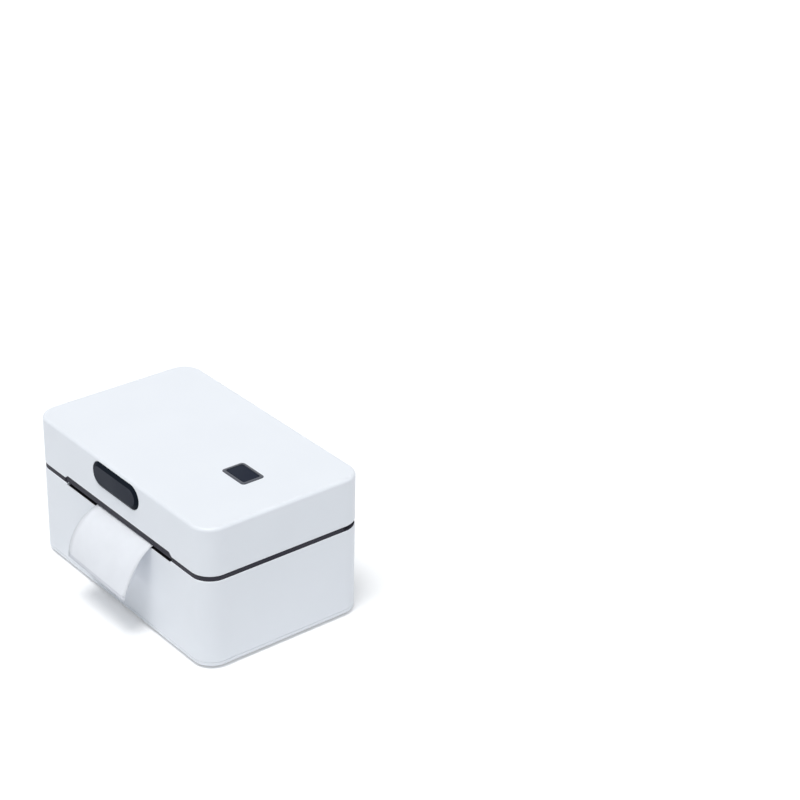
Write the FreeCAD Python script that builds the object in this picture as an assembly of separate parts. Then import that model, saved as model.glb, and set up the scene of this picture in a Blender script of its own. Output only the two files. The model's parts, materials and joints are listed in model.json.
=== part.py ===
import FreeCAD, Part
import math
import os

# Desktop thermal label printer: a two-part casing, a platen drive and a print head in the lid.
# Millimetres, +Z up, -Y is the front, origin on the floor under the middle of the casing.

# Casing
body_w = 150.0
body_d = 94.5
base_h = 48.6
lid_h = 26.1
seam_gap = 1.8
wall = 2.2
corner_r = 11.0
base_edge_r = 0.5
base_step_h = 0.75
base_step_w = 1.0
lid_edge_r = 1.7
lid_lip_r = 0.5
plate_h = 2.4
plate_edge_r = 1.2
parting_gap = 0.15
rim_t = 1.6
rim_h = 2.0
fit_gap = 0.2
slide_gap = 0.4
loose_gap = 0.8

# Feet
foot_h = 1.5
foot_r = 5.5
foot_recess = 0.6
foot_edge_r = 0.4
foot_inset_x = 19.0
foot_inset_y = 11.25

# Screws
screw_r = 1.3
screw_head_r = 2.3
screw_head_h = 1.3
screw_len = 8.0
small_screw_r = 0.95
small_head_r = 1.7
small_head_h = 1.0
small_screw_len = 4.5
thread_gap = 0.04
slot_w = 0.6
slot_depth = 0.6
post_r = 3.4
post_room = 2.4
post_inset_y = 27.25

# Label path
strip_w = 50.0
strip_t = 0.25
strip_x = 5.0
strip_gap = 0.15
curl_start = 6.25
curl_r = 22.65
curl_drop = 1.3
strip_drop = 0.65
slot_margin = 3.5
slot_drop = 1.9
slot_lip_t = 0.6
inlet_inset = 0.5
inlet_rise = 2.6

# Deck
deck_t = 2.2
tongue_t = 0.6
deck_below_strip = 0.3
skirt_t = 1.4
seam_rim_h = 1.4
seam_rim_inset = 0.3
rim_bar_gap = 0.25
rim_rear_inset = 12.25
window_side = 0.8
window_train_gap = 1.8
window_front = 3.65
window_rear = 8.25

# Platen
platen_r = 5.5
platen_inset = 12.0
core_r = 2.5
core_end = 3.5
core_end_gap = 1.4
journal_r = 1.5
running_gap = 0.05
bush_r = 3.0
bush_flange_r = 4.0
bush_flange_t = 1.1
clip_r = 3.0
clip_t = 0.8

# Chassis
gear_room = 26.0
sheet_t = 1.2
chassis_front_gap = 2.05
chassis_depth = 29.0
shoulder_gap = 0.95
collar_half_y = 5.6
collar_above = 5.0
chassis_screw_side = 9.0
chassis_screw_inset = 3.5

# Gear train
gear_module = 0.5
platen_teeth = 24
idler_small_teeth = 14
idler_big_teeth = 28
motor_teeth = 12
pressure_angle = math.radians(20)
addendum = 0.8
dedendum = 1.05
tooth_thin = 0.88
idler_tilt = math.radians(26.6)
motor_tilt = math.radians(17.5)
big_gear_t = 2.8
small_gear_t = 4.4
hub_t = 0.6
hub_r = 2.7
gear_side_gap = 0.8
pinion_t = 3.0
rivet_head_r = 2.3
rivet_head_t = 0.8

# Motor
motor_r = 10.0
motor_len = 15.0
motor_ear_t = 0.8
motor_ear_r = 2.8
motor_screw_circle = 12.5
motor_screw_angle = math.radians(50)
motor_boss_r = 3.9
motor_boss_len = 0.9
motor_shaft_r = 1.0
motor_floor_gap = 3.0

# Label guides
guide_side_gap = 2.5
guide_end_gap = 1.0
guide_wall_t = 1.8
guide_wall_h = 4.2
guide_foot_w = 11.5
guide_foot_t = 1.2
guide_inset = 23.25
guide_len = 22.0
guide_teeth = 16
guide_module = 0.75
rack_t = 2.2
rack_body = 3.2
rack_past = 14.0
rack_deck_gap = 0.25
stem_w = 4.0
stem_inset = 3.5
guide_post_r = 2.0

# Lid hinge
hinge_inset = 5.5
hinge_rise = 6.5
hinge_pin_r = 1.25
hinge_ear_r = 3.0
hinge_side_inset = 19.5
hinge_ear_t = 4.0
hinge_side_gap = 0.5
neck_back = 13.25
neck_t = 6.0
lid_rear_chamfer = 1.5

# Exit bar
bar_past_slot = 1.5
bar_bevel = 2.4
bar_top_rise = 2.15
bar_below = 1.85
bar_inset = 0.7
bar_flange_t = 1.5
bar_flange_h = 5.0

# Release button and latch
pill_w = 40.3
pill_h = 13.2
pill_drop = 8.6
pill_out = 1.15
pill_bevel = 2.0
pill_gap = 0.25
pill_len = 3.8
latch_travel = 1.6
stem_r = 1.5
stem_x = 10.0
slider_h = 4.0
slider_t = 2.2
slider_below = 4.4
slider_gap = 0.8
leg_w = 3.0
leg_nose = 0.4
nose_h = 1.3
nose_below_deck = 0.4
leg_front_gap = 0.7
latch_spring_r = 2.0
latch_spring_clear = 0.6
latch_spring_len = 6.0
spring_wall = 0.6
anchor_t = 2.0

# Print head
head_before = 5.75
head_depth = 12.0
head_t = 0.8
head_gap = 0.15
bracket_margin = 1.0
bracket_depth = 20.0
bracket_t = 2.5
bracket_ear_inset = 6.0
bracket_ear_t = 2.0
pivot_back = 20.25
pivot_rise = 4.0
pivot_r = 1.5
pivot_boss_r = 3.0
lug_edge = 1.0
lug_t = 3.0
head_spring_r = 3.0
head_spring_inset = 20.0
head_spring_back = 2.25
head_spring_drop = 9.8

# Lid liner
liner_t = 1.8
liner_rise = 2.3
liner_boss_r = 3.0
liner_boss_room = 2.3
liner_boss_inset_y = 17.25
head_window_side = 3.0
head_window_back = 6.0

# Key on the lid
key_inset = 35.0
key_y = 0.0
key_w = 14.8
key_d = 9.8
key_gap = 0.2
key_flange = 0.6
key_flange_t = 1.0
key_recess = 0.1
key_travel = 0.8
key_corner_r = 1.2
key_edge_r = 0.3
bezel_w = 18.4
bezel_d = 13.3
bezel_proud = 0.35
bezel_skirt = 0.75
bezel_skirt_len = 1.0
bezel_edge = 0.1
bezel_bevel = 0.7
bezel_corner_r = 2.0
switch_w = 6.0
switch_h = 3.4
plunger_r = 1.7
plunger_h = 1.1
key_board_t = 1.6
key_board_w = 27.4
key_board_d = 14.0
key_screw_x = 11.2
key_post_r = 2.2

# Main board and rear panel
board_w = 124.0
board_front_gap = 3.0
board_rear_gap = 1.55
board_notch_gap = 0.6
board_t = 1.6
standoff_h = 4.0
standoff_r = 2.6
standoff_side = 5.0
standoff_front_inset = 4.0
standoff_rear_inset = 17.5
jack_inset = 23.0
jack_w = 9.0
jack_h = 11.0
jack_len = 14.0
jack_barrel_r = 4.0
jack_bore_r = 3.2
jack_pin_r = 1.0
jack_axis_up = 6.5
port_pitch = 28.0
usb_w = 12.0
usb_h = 10.9
usb_len = 16.0
usb_mouth_w = 8.5
usb_mouth_h = 7.8
usb_depth = 9.0
usb_tongue_w = 5.6
usb_tongue_h = 3.2
port_gap = 0.25
port_recess = 0.3
rocker_inset = 27.0
rocker_rise = 18.5
rocker_w = 10.6
rocker_half_h = 7.5
rocker_bulge = 2.2
rocker_waist = 1.2
rocker_depth = 4.5
rocker_back_half = 6.0
rocker_tilt = 6.0
rocker_gap = 0.4
rocker_axis_in = 1.2
frame_lip = 1.3
frame_border = 2.0
frame_wall = 1.0
frame_depth = 12.0

# Parts on the main board
chip_h = 1.4
chip_row = 18.0
chip_pitch = 24.0
processor_w = 14.0
driver_w = 10.0
memory_w = 8.0
regulator_w = 6.0
regulator_x = 10.0
capacitor_r = 4.0
capacitor_h = 10.0
capacitor_x = 44.0
capacitor_pitch = 10.0
coil_w = 7.0
coil_h = 4.0
coil_corner_r = 1.5
header_d = 5.0
header_h = 6.0
header_wall = 1.0
header_inset = 2.0
header_start = 19.0
header_gap = 6.0
header_mid = 18.0
header_short = 12.0
header_long = 24.0

# Label gap sensor
sensor_w = 8.0
sensor_d = 6.0
sensor_h = 4.0
sensor_back = 22.25

# Derived levels and faces
z_bottom = foot_h
z_plate = z_bottom + plate_h
z_plate_in = z_plate - parting_gap
z_base_top = z_bottom + base_h
z_lid_bottom = z_base_top + seam_gap
z_lid_top = z_lid_bottom + lid_h
z_roof = z_lid_top - wall
half_w = body_w / 2
half_d = body_d / 2
in_w = half_w - wall
in_d = half_d - wall
in_r = corner_r - wall
foot_x = half_w - foot_inset_x
foot_y = half_d - foot_inset_y
post_x = in_w - post_room - post_r
post_y = half_d - post_inset_y

# Derived: label path, platen and chassis
z_strip = z_base_top - strip_drop
z_deck_top = z_strip - deck_below_strip
z_deck = z_deck_top - deck_t
z_slot = z_base_top - slot_drop
z_shelf = z_slot - fit_gap
z_seam_rim = z_base_top + seam_rim_h
z_step = z_base_top - base_step_h
z_under_bar = z_lid_bottom - bar_below - fit_gap
platen_y = -half_d + platen_inset
platen_z = z_strip - strip_gap - platen_r
chassis_half = half_w - gear_room
core_half = chassis_half - bush_flange_t - core_end_gap
platen_half = core_half - core_end
slot_half = platen_half + slot_margin
inlet_half = slot_half - inlet_inset
bar_half = slot_half + bar_past_slot
rim_front_half = bar_half + rim_bar_gap
rim_rear_y = half_d - rim_rear_inset
chassis_front = -in_d + chassis_front_gap
chassis_rear = chassis_front + chassis_depth
chassis_screw_x = chassis_half - chassis_screw_side
shoulder_z = z_deck - shoulder_gap
x_sheet_out = chassis_half + sheet_t
x_big = x_sheet_out + gear_side_gap
x_small = x_big + big_gear_t + hub_t
x_train_end = x_small + small_gear_t
window_left = x_sheet_out + window_side
window_right = x_train_end + window_train_gap
idler_reach = gear_module * (platen_teeth + idler_small_teeth) / 2
idler_y = platen_y + idler_reach * math.sin(idler_tilt)
idler_z = platen_z - idler_reach * math.cos(idler_tilt)
motor_reach = gear_module * (idler_big_teeth + motor_teeth) / 2
motor_y = idler_y + motor_reach * math.sin(motor_tilt)
motor_z = idler_z - motor_reach * math.cos(motor_tilt)
chassis_foot_z = motor_z - motor_r - motor_floor_gap - sheet_t
sensor_y = platen_y + sensor_back

# Derived: hinge and label guides
hinge_y = half_d - hinge_inset
hinge_z = z_base_top + hinge_rise
hinge_ear_x = half_w - hinge_side_inset
neck_y = hinge_y - neck_back
guide_y = half_d - guide_inset
guide_inner = strip_x + strip_w / 2 + guide_side_gap
guide_travel = hinge_ear_x - guide_inner - guide_foot_w - guide_end_gap
guide_pitch_r = guide_module * guide_teeth / 2

# Derived: boards and rear panel
z_board = z_plate_in + standoff_h
z_board_top = z_board + board_t
board_front = chassis_rear + board_front_gap
board_rear = in_d - board_rear_gap
standoff_x = board_w / 2 - standoff_side
standoff_front = board_front + standoff_front_inset
standoff_rear = board_rear - standoff_rear_inset
jack_x = -half_w + jack_inset
usb_x = jack_x + port_pitch
rocker_x = half_w - rocker_inset
rocker_z = z_bottom + rocker_rise

# Derived: lid, latch, print head and key
z_liner = z_lid_bottom + liner_rise
z_liner_top = z_liner + liner_t
liner_boss_x = in_w - liner_boss_room - liner_boss_r
liner_boss_y = half_d - liner_boss_inset_y
y_pill = -half_d - pill_out
y_pill_back = y_pill + pill_len
y_slider = y_pill_back + slider_gap
pill_z = z_lid_top - pill_drop
slider_z = pill_z - slider_below
leg_x = half_w - corner_r
y_leg = -in_d + fit_gap + skirt_t + leg_front_gap
z_head = z_strip + strip_t + head_gap
z_bracket = z_head + head_t
z_bracket_top = z_bracket + bracket_t
head_front = platen_y - head_before
head_rear = head_front + head_depth
bracket_half = platen_half + bracket_margin
bracket_front = head_front - bracket_margin
bracket_rear = bracket_front + bracket_depth
bracket_ear_x = bracket_half - bracket_ear_inset
head_window_half = bracket_half + head_window_side
pivot_y = platen_y + pivot_back
pivot_z = z_liner_top + pivot_rise
head_window_rear = pivot_y + head_window_back
lug_x = head_window_half + lug_edge
head_spring_x = bracket_half - head_spring_inset
head_spring_y = platen_y + head_spring_back
head_spring_seat_z = z_roof - head_spring_drop
latch_spring_x = head_spring_x + head_spring_r + latch_spring_r + 2 * fit_gap + latch_spring_clear
key_x = half_w - key_inset
z_key = z_lid_top + bezel_proud - key_recess
z_key_base = z_roof - bezel_skirt_len - fit_gap / 2 - key_flange_t
z_key_board_top = z_key_base - key_travel - fit_gap / 2 - switch_h - plunger_h


def vec(x, y, z):
    return FreeCAD.Vector(x, y, z)


def box(x0, x1, y0, y1, z0, z1):
    return Part.makeBox(x1 - x0, y1 - y0, z1 - z0, vec(x0, y0, z0))


def rod_x(x0, x1, y, z, r):
    return Part.makeCylinder(r, x1 - x0, vec(x0, y, z), vec(1, 0, 0))


def rod_y(y0, y1, x, z, r):
    return Part.makeCylinder(r, y1 - y0, vec(x, y0, z), vec(0, 1, 0))


def rod_z(z0, z1, x, y, r):
    return Part.makeCylinder(r, z1 - z0, vec(x, y, z0), vec(0, 0, 1))


def join(first, *others):
    shape = first
    for other in others:
        shape = shape.fuse(other)
    return shape.removeSplitter()


def one(shape):
    return shape.Solids[0]


def group(solids):
    return Part.makeCompound([one(solid) for solid in solids])


def flat_edges(shape, axis, level):
    """Edges that lie wholly in one plane square to an axis."""
    found = []
    for edge in shape.Edges:
        b = edge.BoundBox
        low, high = {"y": (b.YMin, b.YMax), "z": (b.ZMin, b.ZMax)}[axis]
        if abs(low - level) < 1e-5 and abs(high - level) < 1e-5:
            found.append(edge)
    return found


def rounded_slab(half_x, half_y, r, z0, z1, x=0.0, y=0.0):
    slab = box(x - half_x, x + half_x, y - half_y, y + half_y, z0, z1)
    upright = [e for e in slab.Edges if e.BoundBox.ZLength > (z1 - z0) / 2]
    return one(slab.makeFillet(r, upright))


def ring(half_x, half_y, r, t, z0, z1):
    outer = rounded_slab(half_x, half_y, r, z0, z1)
    return outer.cut(rounded_slab(half_x - t, half_y - t, r - t, z0, z1))


def prism_x(points, x0, x1):
    """Outline of (y, z) points, drawn out along X."""
    corners = [vec(x0, y, z) for y, z in points]
    face = Part.Face(Part.makePolygon(corners + corners[:1]))
    return face.extrude(vec(x1 - x0, 0, 0))


def prism_y(points, y0, y1):
    """Outline of (x, z) points, drawn out along Y."""
    corners = [vec(x, y0, z) for x, z in points]
    face = Part.Face(Part.makePolygon(corners + corners[:1]))
    return face.extrude(vec(0, y1 - y0, 0))


def prism_z(points, z0, z1):
    """Outline of (x, y) points, drawn out along Z."""
    corners = [vec(x, y, z0) for x, y in points]
    face = Part.Face(Part.makePolygon(corners + corners[:1]))
    return face.extrude(vec(0, 0, z1 - z0))


def pill_wire(w, h, z, y):
    r = h / 2
    reach = w / 2 - r
    upper = Part.LineSegment(vec(-reach, y, z + r), vec(reach, y, z + r))
    right = Part.Arc(vec(reach, y, z + r), vec(reach + r, y, z), vec(reach, y, z - r))
    lower = Part.LineSegment(vec(reach, y, z - r), vec(-reach, y, z - r))
    left = Part.Arc(vec(-reach, y, z - r), vec(-reach - r, y, z), vec(-reach, y, z + r))
    return Part.Wire([s.toShape() for s in (upper, right, lower, left)])


def pill_y(w, h, z, y0, y1):
    return Part.Face(pill_wire(w, h, z, y0)).extrude(vec(0, y1 - y0, 0))


def gear_outline(teeth, module, tooth_angle):
    """Stub involute teeth, thinned for backlash, with one tooth centred on tooth_angle."""
    pitch_r = module * teeth / 2
    base_r = pitch_r * math.cos(pressure_angle)
    tip_r = pitch_r + addendum * module
    root_r = pitch_r - dedendum * module
    half_pitch = math.pi / (2 * teeth) * tooth_thin
    start_r = max(base_r, root_r)
    involute_at_pitch = math.tan(pressure_angle) - pressure_angle

    def half_angle(r):
        a = math.acos(min(1.0, base_r / r))
        return half_pitch + involute_at_pitch - (math.tan(a) - a)

    steps = 4
    radii = [start_r + (tip_r - start_r) * i / steps for i in range(steps + 1)]
    points = []
    for tooth in range(teeth):
        middle = tooth_angle + 2 * math.pi * tooth / teeth
        flank = [(root_r, half_angle(start_r))] if root_r < base_r else []
        flank += [(r, half_angle(r)) for r in radii]
        outline = [(r, middle - a) for r, a in flank]
        outline += [(r, middle + a) for r, a in reversed(flank)]
        points += [(r * math.cos(a), r * math.sin(a)) for r, a in outline]
    return points


def gear_x(teeth, y, z, tooth_angle, x0, x1):
    points = gear_outline(teeth, gear_module, tooth_angle)
    return prism_x([(y + u, z + v) for u, v in points], x0, x1)


def screw_z(x, y, z_seat, up, r, head_r, head_h, length):
    """Slotted screw: its head sits at z_seat, and up is +1 where the head is above the seat."""
    z_head_end = z_seat + up * head_h
    head = rod_z(min(z_seat, z_head_end), max(z_seat, z_head_end), x, y, head_r)
    z_tip = z_seat - up * length
    shank = rod_z(min(z_seat, z_tip), max(z_seat, z_tip), x, y, r)
    z_cut = z_head_end - up * slot_depth
    slot = box(x - head_r, x + head_r, y - slot_w / 2, y + slot_w / 2,
               min(z_cut, z_head_end), max(z_cut, z_head_end))
    return join(head, shank).cut(slot)


def corners_of(x, y):
    return [(sx * x, sy * y) for sx in (-1, 1) for sy in (-1, 1)]


def edged_slab(z_top):
    slab = rounded_slab(half_w, half_d, corner_r, z_plate, z_top)
    return one(slab.makeFillet(base_edge_r, flat_edges(slab, "z", z_top)))


def stepped_slab():
    """Outside of the base: a step for the dark rim runs round its top edge, wider at the rear, except
    at the inlet. Under the exit bar the edge is lower."""
    inner = rounded_slab(half_w - base_step_w, half_d - base_step_w, corner_r - base_step_w, z_step, z_base_top)
    inner = inner.cut(box(-half_w, half_w, rim_rear_y, half_d, z_step, z_base_top))
    inner = inner.cut(box(-rim_front_half, rim_front_half, -half_d, -in_d, z_under_bar, z_base_top))
    plain = edged_slab(z_base_top)
    sill = plain.common(box(-inlet_half, inlet_half, in_d, half_d, z_plate, z_base_top))
    return one(join(edged_slab(z_step), inner, sill))


def base_shell():
    shell = stepped_slab().cut(rounded_slab(in_w, in_d, in_r, z_plate, z_base_top))
    pilot = screw_r + thread_gap
    for x, y in corners_of(post_x, post_y):
        web = box(min(x, math.copysign(in_w + wall / 2, x)), max(x, math.copysign(in_w + wall / 2, x)),
                  y - wall / 2, y + wall / 2, z_plate, z_deck)
        post = rod_z(z_plate, z_deck, x, y, post_r).fuse(web)
        post = post.cut(rod_z(z_plate, z_plate + screw_len, x, y, pilot))
        post = post.cut(rod_z(z_deck - screw_len, z_deck, x, y, pilot))
        shell = shell.fuse(post)
    shell = shell.removeSplitter()
    shell = shell.cut(box(-slot_half, slot_half, -half_d, -in_d, z_slot, z_base_top))
    shell = shell.cut(box(-slot_half, slot_half, -half_d + slot_lip_t, -in_d,
                          z_shelf - tongue_t - fit_gap, z_slot))
    shell = shell.cut(box(-inlet_half, inlet_half, in_d, half_d, z_slot, z_base_top))
    shell = shell.cut(rod_y(in_d, half_d, jack_x, z_board_top + jack_axis_up, jack_barrel_r + port_gap))
    shell = shell.cut(box(usb_x - usb_w / 2 - port_gap, usb_x + usb_w / 2 + port_gap, in_d, half_d,
                          z_board_top - port_gap, z_board_top + usb_h + port_gap))
    hole_x = rocker_w / 2 + rocker_gap + frame_wall + port_gap
    hole_z = rocker_opening_half() + frame_wall + port_gap
    shell = shell.cut(box(rocker_x - hole_x, rocker_x + hole_x, in_d, half_d,
                          rocker_z - hole_z, rocker_z + hole_z))
    return one(shell)


def bottom_plate():
    plate = rounded_slab(half_w, half_d, corner_r, z_bottom, z_plate_in)
    plate = one(plate.makeFillet(plate_edge_r, flat_edges(plate, "z", z_bottom)))
    rim = ring(in_w - fit_gap, in_d - fit_gap, in_r - fit_gap, rim_t, z_plate_in, z_plate_in + rim_h)
    relief = post_r + fit_gap
    for x, y in corners_of(post_x, post_y):
        rim = rim.cut(box(x - half_w, x + half_w, y - relief, y + relief, z_plate_in, z_plate_in + rim_h))
    plate = plate.fuse(rim)
    pilot = small_screw_r + thread_gap
    for x, y in standoff_places():
        plate = plate.fuse(rod_z(z_plate_in, z_board, x, y, standoff_r))
        plate = plate.cut(rod_z(z_board - standoff_h, z_board, x, y, pilot))
    for x, y in chassis_screw_places():
        plate = plate.fuse(rod_z(z_plate_in, chassis_foot_z, x, y, post_r))
        pilot_end = chassis_foot_z + sheet_t - small_screw_len - fit_gap
        plate = plate.cut(rod_z(pilot_end, chassis_foot_z, x, y, pilot))
    plate = plate.removeSplitter()
    for x, y in corners_of(foot_x, foot_y):
        plate = plate.cut(rod_z(z_bottom, z_bottom + foot_recess, x, y, foot_r + fit_gap / 2))
    for x, y in corners_of(post_x, post_y):
        plate = plate.cut(rod_z(z_bottom, z_bottom + screw_head_h, x, y, screw_head_r + fit_gap))
        plate = plate.cut(rod_z(z_bottom, z_plate, x, y, screw_r + fit_gap))
    return one(plate)


def standoff_places():
    return [(sx * standoff_x, y) for sx in (-1, 1) for y in (standoff_front, standoff_rear)]


def chassis_screw_places():
    rows = (chassis_front + chassis_screw_inset, chassis_rear - chassis_screw_inset)
    return [(sx * chassis_screw_x, y) for sx in (-1, 1) for y in rows]


def rubber_feet():
    feet = []
    for x, y in corners_of(foot_x, foot_y):
        foot = rod_z(0, foot_h + foot_recess, x, y, foot_r)
        feet.append(foot.makeFillet(foot_edge_r, flat_edges(foot, "z", 0)))
    return group(feet)


def bottom_screws():
    seat = z_bottom + screw_head_h
    return group([screw_z(x, y, seat, -1, screw_r, screw_head_r, screw_head_h, screw_len)
                  for x, y in corners_of(post_x, post_y)])


def deck_screws():
    length = screw_len + deck_t - fit_gap
    return group([screw_z(x, y, z_deck_top, 1, screw_r, screw_head_r, screw_head_h, length)
                  for x, y in corners_of(post_x, post_y)])


def hinge_neck(side):
    """Arm that reaches back from the deck and holds one hinge pin."""
    x0 = min(side * hinge_ear_x, side * (hinge_ear_x + hinge_ear_t))
    x1 = x0 + hinge_ear_t
    column = box(x0, x1, neck_y, neck_y + neck_t, z_deck_top, hinge_z + hinge_ear_r)
    arm = box(x0, x1, neck_y + neck_t, hinge_y, hinge_z - hinge_ear_r, hinge_z + hinge_ear_r)
    eye = rod_x(x0, x1, hinge_y, hinge_z, hinge_ear_r)
    return column.fuse(arm).fuse(eye).cut(rod_x(x0, x1, hinge_y, hinge_z, hinge_pin_r))


def leg_room(side):
    """Space that a latch leg needs, through the deck and past the rim."""
    x = side * leg_x
    half = leg_w / 2 + loose_gap
    return box(x - half, x + half, -in_d + fit_gap + skirt_t - leg_front_gap,
               y_leg + slider_t + latch_travel + leg_front_gap, z_deck, z_seam_rim)


def seam_rim():
    """Dark rim in the seam, in a left and a right half: it stands on the deck, lies over the base's
    edge and fills the step there."""
    half_x = in_w - fit_gap
    half_y = in_d - fit_gap
    r = in_r - fit_gap
    rim_half_x = half_w - seam_rim_inset
    rim_half_y = half_d - seam_rim_inset
    rim_r = corner_r - seam_rim_inset
    skirt = ring(half_x, half_y, r, skirt_t, z_deck_top, z_seam_rim)
    cap = rounded_slab(rim_half_x, rim_half_y, rim_r, z_base_top, z_seam_rim)
    cap = cap.cut(rounded_slab(half_x - skirt_t, half_y - skirt_t, r - skirt_t, z_base_top, z_seam_rim))
    rim = skirt.fuse(cap)
    rim = rim.cut(box(-half_w, half_w, rim_rear_y, half_d, z_deck_top + skirt_t / 2, z_seam_rim))
    filler_t = base_step_w - seam_rim_inset - fit_gap
    rim = rim.fuse(ring(rim_half_x, rim_half_y, rim_r, filler_t, z_step, z_base_top))
    rear = ring(rim_half_x, rim_half_y, rim_r, wall - seam_rim_inset - fit_gap, z_step, z_base_top)
    rim = rim.fuse(rear.common(box(-half_w, half_w, rim_rear_y + fit_gap, half_d, z_step, z_base_top)))
    rim = rim.removeSplitter()
    filler_half = slot_half + fit_gap
    rim = rim.cut(box(-filler_half, filler_half, -half_d, -in_d, z_step, z_seam_rim))
    rim = rim.cut(box(-rim_front_half, rim_front_half, -half_d, -in_d, z_under_bar, z_seam_rim))
    rim = rim.cut(box(-rim_front_half, rim_front_half, -in_d, platen_y, z_deck_top, z_seam_rim))
    rim = rim.cut(box(-inlet_half, inlet_half, rim_rear_y, half_d, z_deck_top, z_seam_rim))
    rim = rim.cut(leg_room(-1)).cut(leg_room(1))
    return group(rim.Solids)


def media_deck():
    half_x = in_w - fit_gap
    half_y = in_d - fit_gap
    r = in_r - fit_gap
    deck = rounded_slab(half_x, half_y, r, z_deck, z_deck_top)
    deck = deck.cut(box(-rim_front_half, rim_front_half, -half_d, -in_d + window_front,
                        z_shelf, z_deck_top))
    tongue_half = slot_half - fit_gap
    deck = deck.fuse(box(-tongue_half, tongue_half, -half_d + slot_lip_t + fit_gap, -half_y + skirt_t,
                         z_shelf - tongue_t, z_shelf))
    window_y0 = -in_d + window_front / 2
    deck = deck.cut(box(-window_left, window_right, window_y0, platen_y + window_rear, z_deck, z_deck_top))
    for side in (-1, 1):
        deck = deck.fuse(hinge_neck(side)).cut(leg_room(side))
        slot = box(guide_inner + stem_inset - slide_gap,
                   guide_inner + stem_inset + stem_w + guide_travel + slide_gap,
                   rack_back() - rack_body - fit_gap, rack_back() + slide_gap, z_deck, z_deck_top)
        deck = deck.cut(turned(slot, side))
    deck = deck.removeSplitter()
    post_end = z_deck - rack_deck_gap - rack_t - rack_deck_gap
    deck = deck.fuse(rod_z(post_end, z_deck, 0, guide_y, guide_post_r))
    deck = deck.cut(rod_z(post_end, post_end + small_screw_len, 0, guide_y, small_screw_r + thread_gap))
    deck = deck.cut(box(strip_x - sensor_w / 2 - fit_gap, strip_x + sensor_w / 2 + fit_gap,
                        sensor_y - sensor_d / 2 - fit_gap, sensor_y + sensor_d / 2 + fit_gap,
                        z_deck, z_deck_top))
    for x, y in corners_of(post_x, post_y):
        deck = deck.cut(rod_z(z_deck, z_deck_top, x, y, screw_r + fit_gap))
    return one(deck)


def turned(shape, side):
    """The right-hand piece as it is, or its left-hand twin about the guide pinion's axis."""
    twin = shape.copy()
    if side < 0:
        twin.rotate(vec(0, guide_y, 0), vec(0, 0, 1), 180)
    return twin


def gap_sensor():
    body = box(strip_x - sensor_w / 2, strip_x + sensor_w / 2, sensor_y - sensor_d / 2,
               sensor_y + sensor_d / 2, z_deck_top - sensor_h, z_deck_top)
    eye = rod_z(z_deck_top - slot_depth, z_deck_top, strip_x, sensor_y, sensor_d / 4)
    return one(body.cut(eye))


def chassis_side(x0):
    top = platen_z + collar_above
    outline = [(chassis_front, chassis_foot_z), (chassis_rear, chassis_foot_z), (chassis_rear, shoulder_z),
               (platen_y + collar_half_y, shoulder_z), (platen_y + collar_half_y, top),
               (platen_y - collar_half_y, top), (platen_y - collar_half_y, shoulder_z),
               (chassis_front, shoulder_z)]
    side = prism_x(outline, x0, x0 + sheet_t)
    return side.cut(rod_x(x0, x0 + sheet_t, platen_y, platen_z, bush_r + fit_gap / 10))


def chassis_frame():
    floor = box(-x_sheet_out, x_sheet_out, chassis_front, chassis_rear, chassis_foot_z,
                chassis_foot_z + sheet_t)
    left = chassis_side(-x_sheet_out)
    right = chassis_side(chassis_half)
    right = right.cut(rod_x(chassis_half, x_sheet_out, idler_y, idler_z, journal_r))
    right = right.cut(rod_x(chassis_half, x_sheet_out, motor_y, motor_z, motor_boss_r + fit_gap / 4))
    for y, z in motor_screw_places():
        right = right.cut(rod_x(chassis_half, x_sheet_out, y, z, small_screw_r + fit_gap / 4))
    frame = join(floor, left, right)
    for x, y in chassis_screw_places():
        frame = frame.cut(rod_z(chassis_foot_z, chassis_foot_z + sheet_t, x, y, small_screw_r + fit_gap))
    return one(frame)


def chassis_screws():
    seat = chassis_foot_z + sheet_t
    return group([screw_z(x, y, seat, 1, small_screw_r, small_head_r, small_head_h, small_screw_len)
                  for x, y in chassis_screw_places()])


def platen_bush(side):
    x_in = side * chassis_half
    x_flange = x_in - side * bush_flange_t
    x_out = side * (x_sheet_out + fit_gap)
    sleeve = rod_x(min(x_in, x_out), max(x_in, x_out), platen_y, platen_z, bush_r)
    flange = rod_x(min(x_in, x_flange), max(x_in, x_flange), platen_y, platen_z, bush_flange_r)
    bore = rod_x(-body_w / 2, body_w / 2, platen_y, platen_z, journal_r + running_gap)
    return one(join(sleeve, flange).cut(bore))


def motor_screw_places():
    dy = motor_screw_circle * math.cos(motor_screw_angle)
    dz = motor_screw_circle * math.sin(motor_screw_angle)
    return [(motor_y + dy, motor_z + dz), (motor_y - dy, motor_z - dz)]


def stepper_motor():
    x_back = chassis_half - motor_len
    can = rod_x(x_back, chassis_half, motor_y, motor_z, motor_r)
    can = can.makeFillet(motor_ear_t, [e for e in can.Edges if abs(e.BoundBox.XMax - x_back) < 1e-5])
    x_ear = chassis_half - motor_ear_t
    motor = can.fuse(rod_x(chassis_half, chassis_half + motor_boss_len, motor_y, motor_z, motor_boss_r))
    for y, z in motor_screw_places():
        reach = math.hypot(y - motor_y, z - motor_z)
        arm = box(x_ear, chassis_half, 0, reach, -motor_ear_r, motor_ear_r)
        arm.rotate(vec(0, 0, 0), vec(1, 0, 0), math.degrees(math.atan2(z - motor_z, y - motor_y)))
        arm.translate(vec(0, motor_y, motor_z))
        motor = motor.fuse(arm).fuse(rod_x(x_ear, chassis_half, y, z, motor_ear_r))
    motor = motor.removeSplitter()
    for y, z in motor_screw_places():
        motor = motor.cut(rod_x(x_ear, chassis_half, y, z, small_screw_r + thread_gap))
    x_bore = x_back + motor_ear_r
    motor = motor.cut(rod_x(x_bore, x_sheet_out, motor_y, motor_z, motor_shaft_r + running_gap))
    return one(motor)


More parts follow.
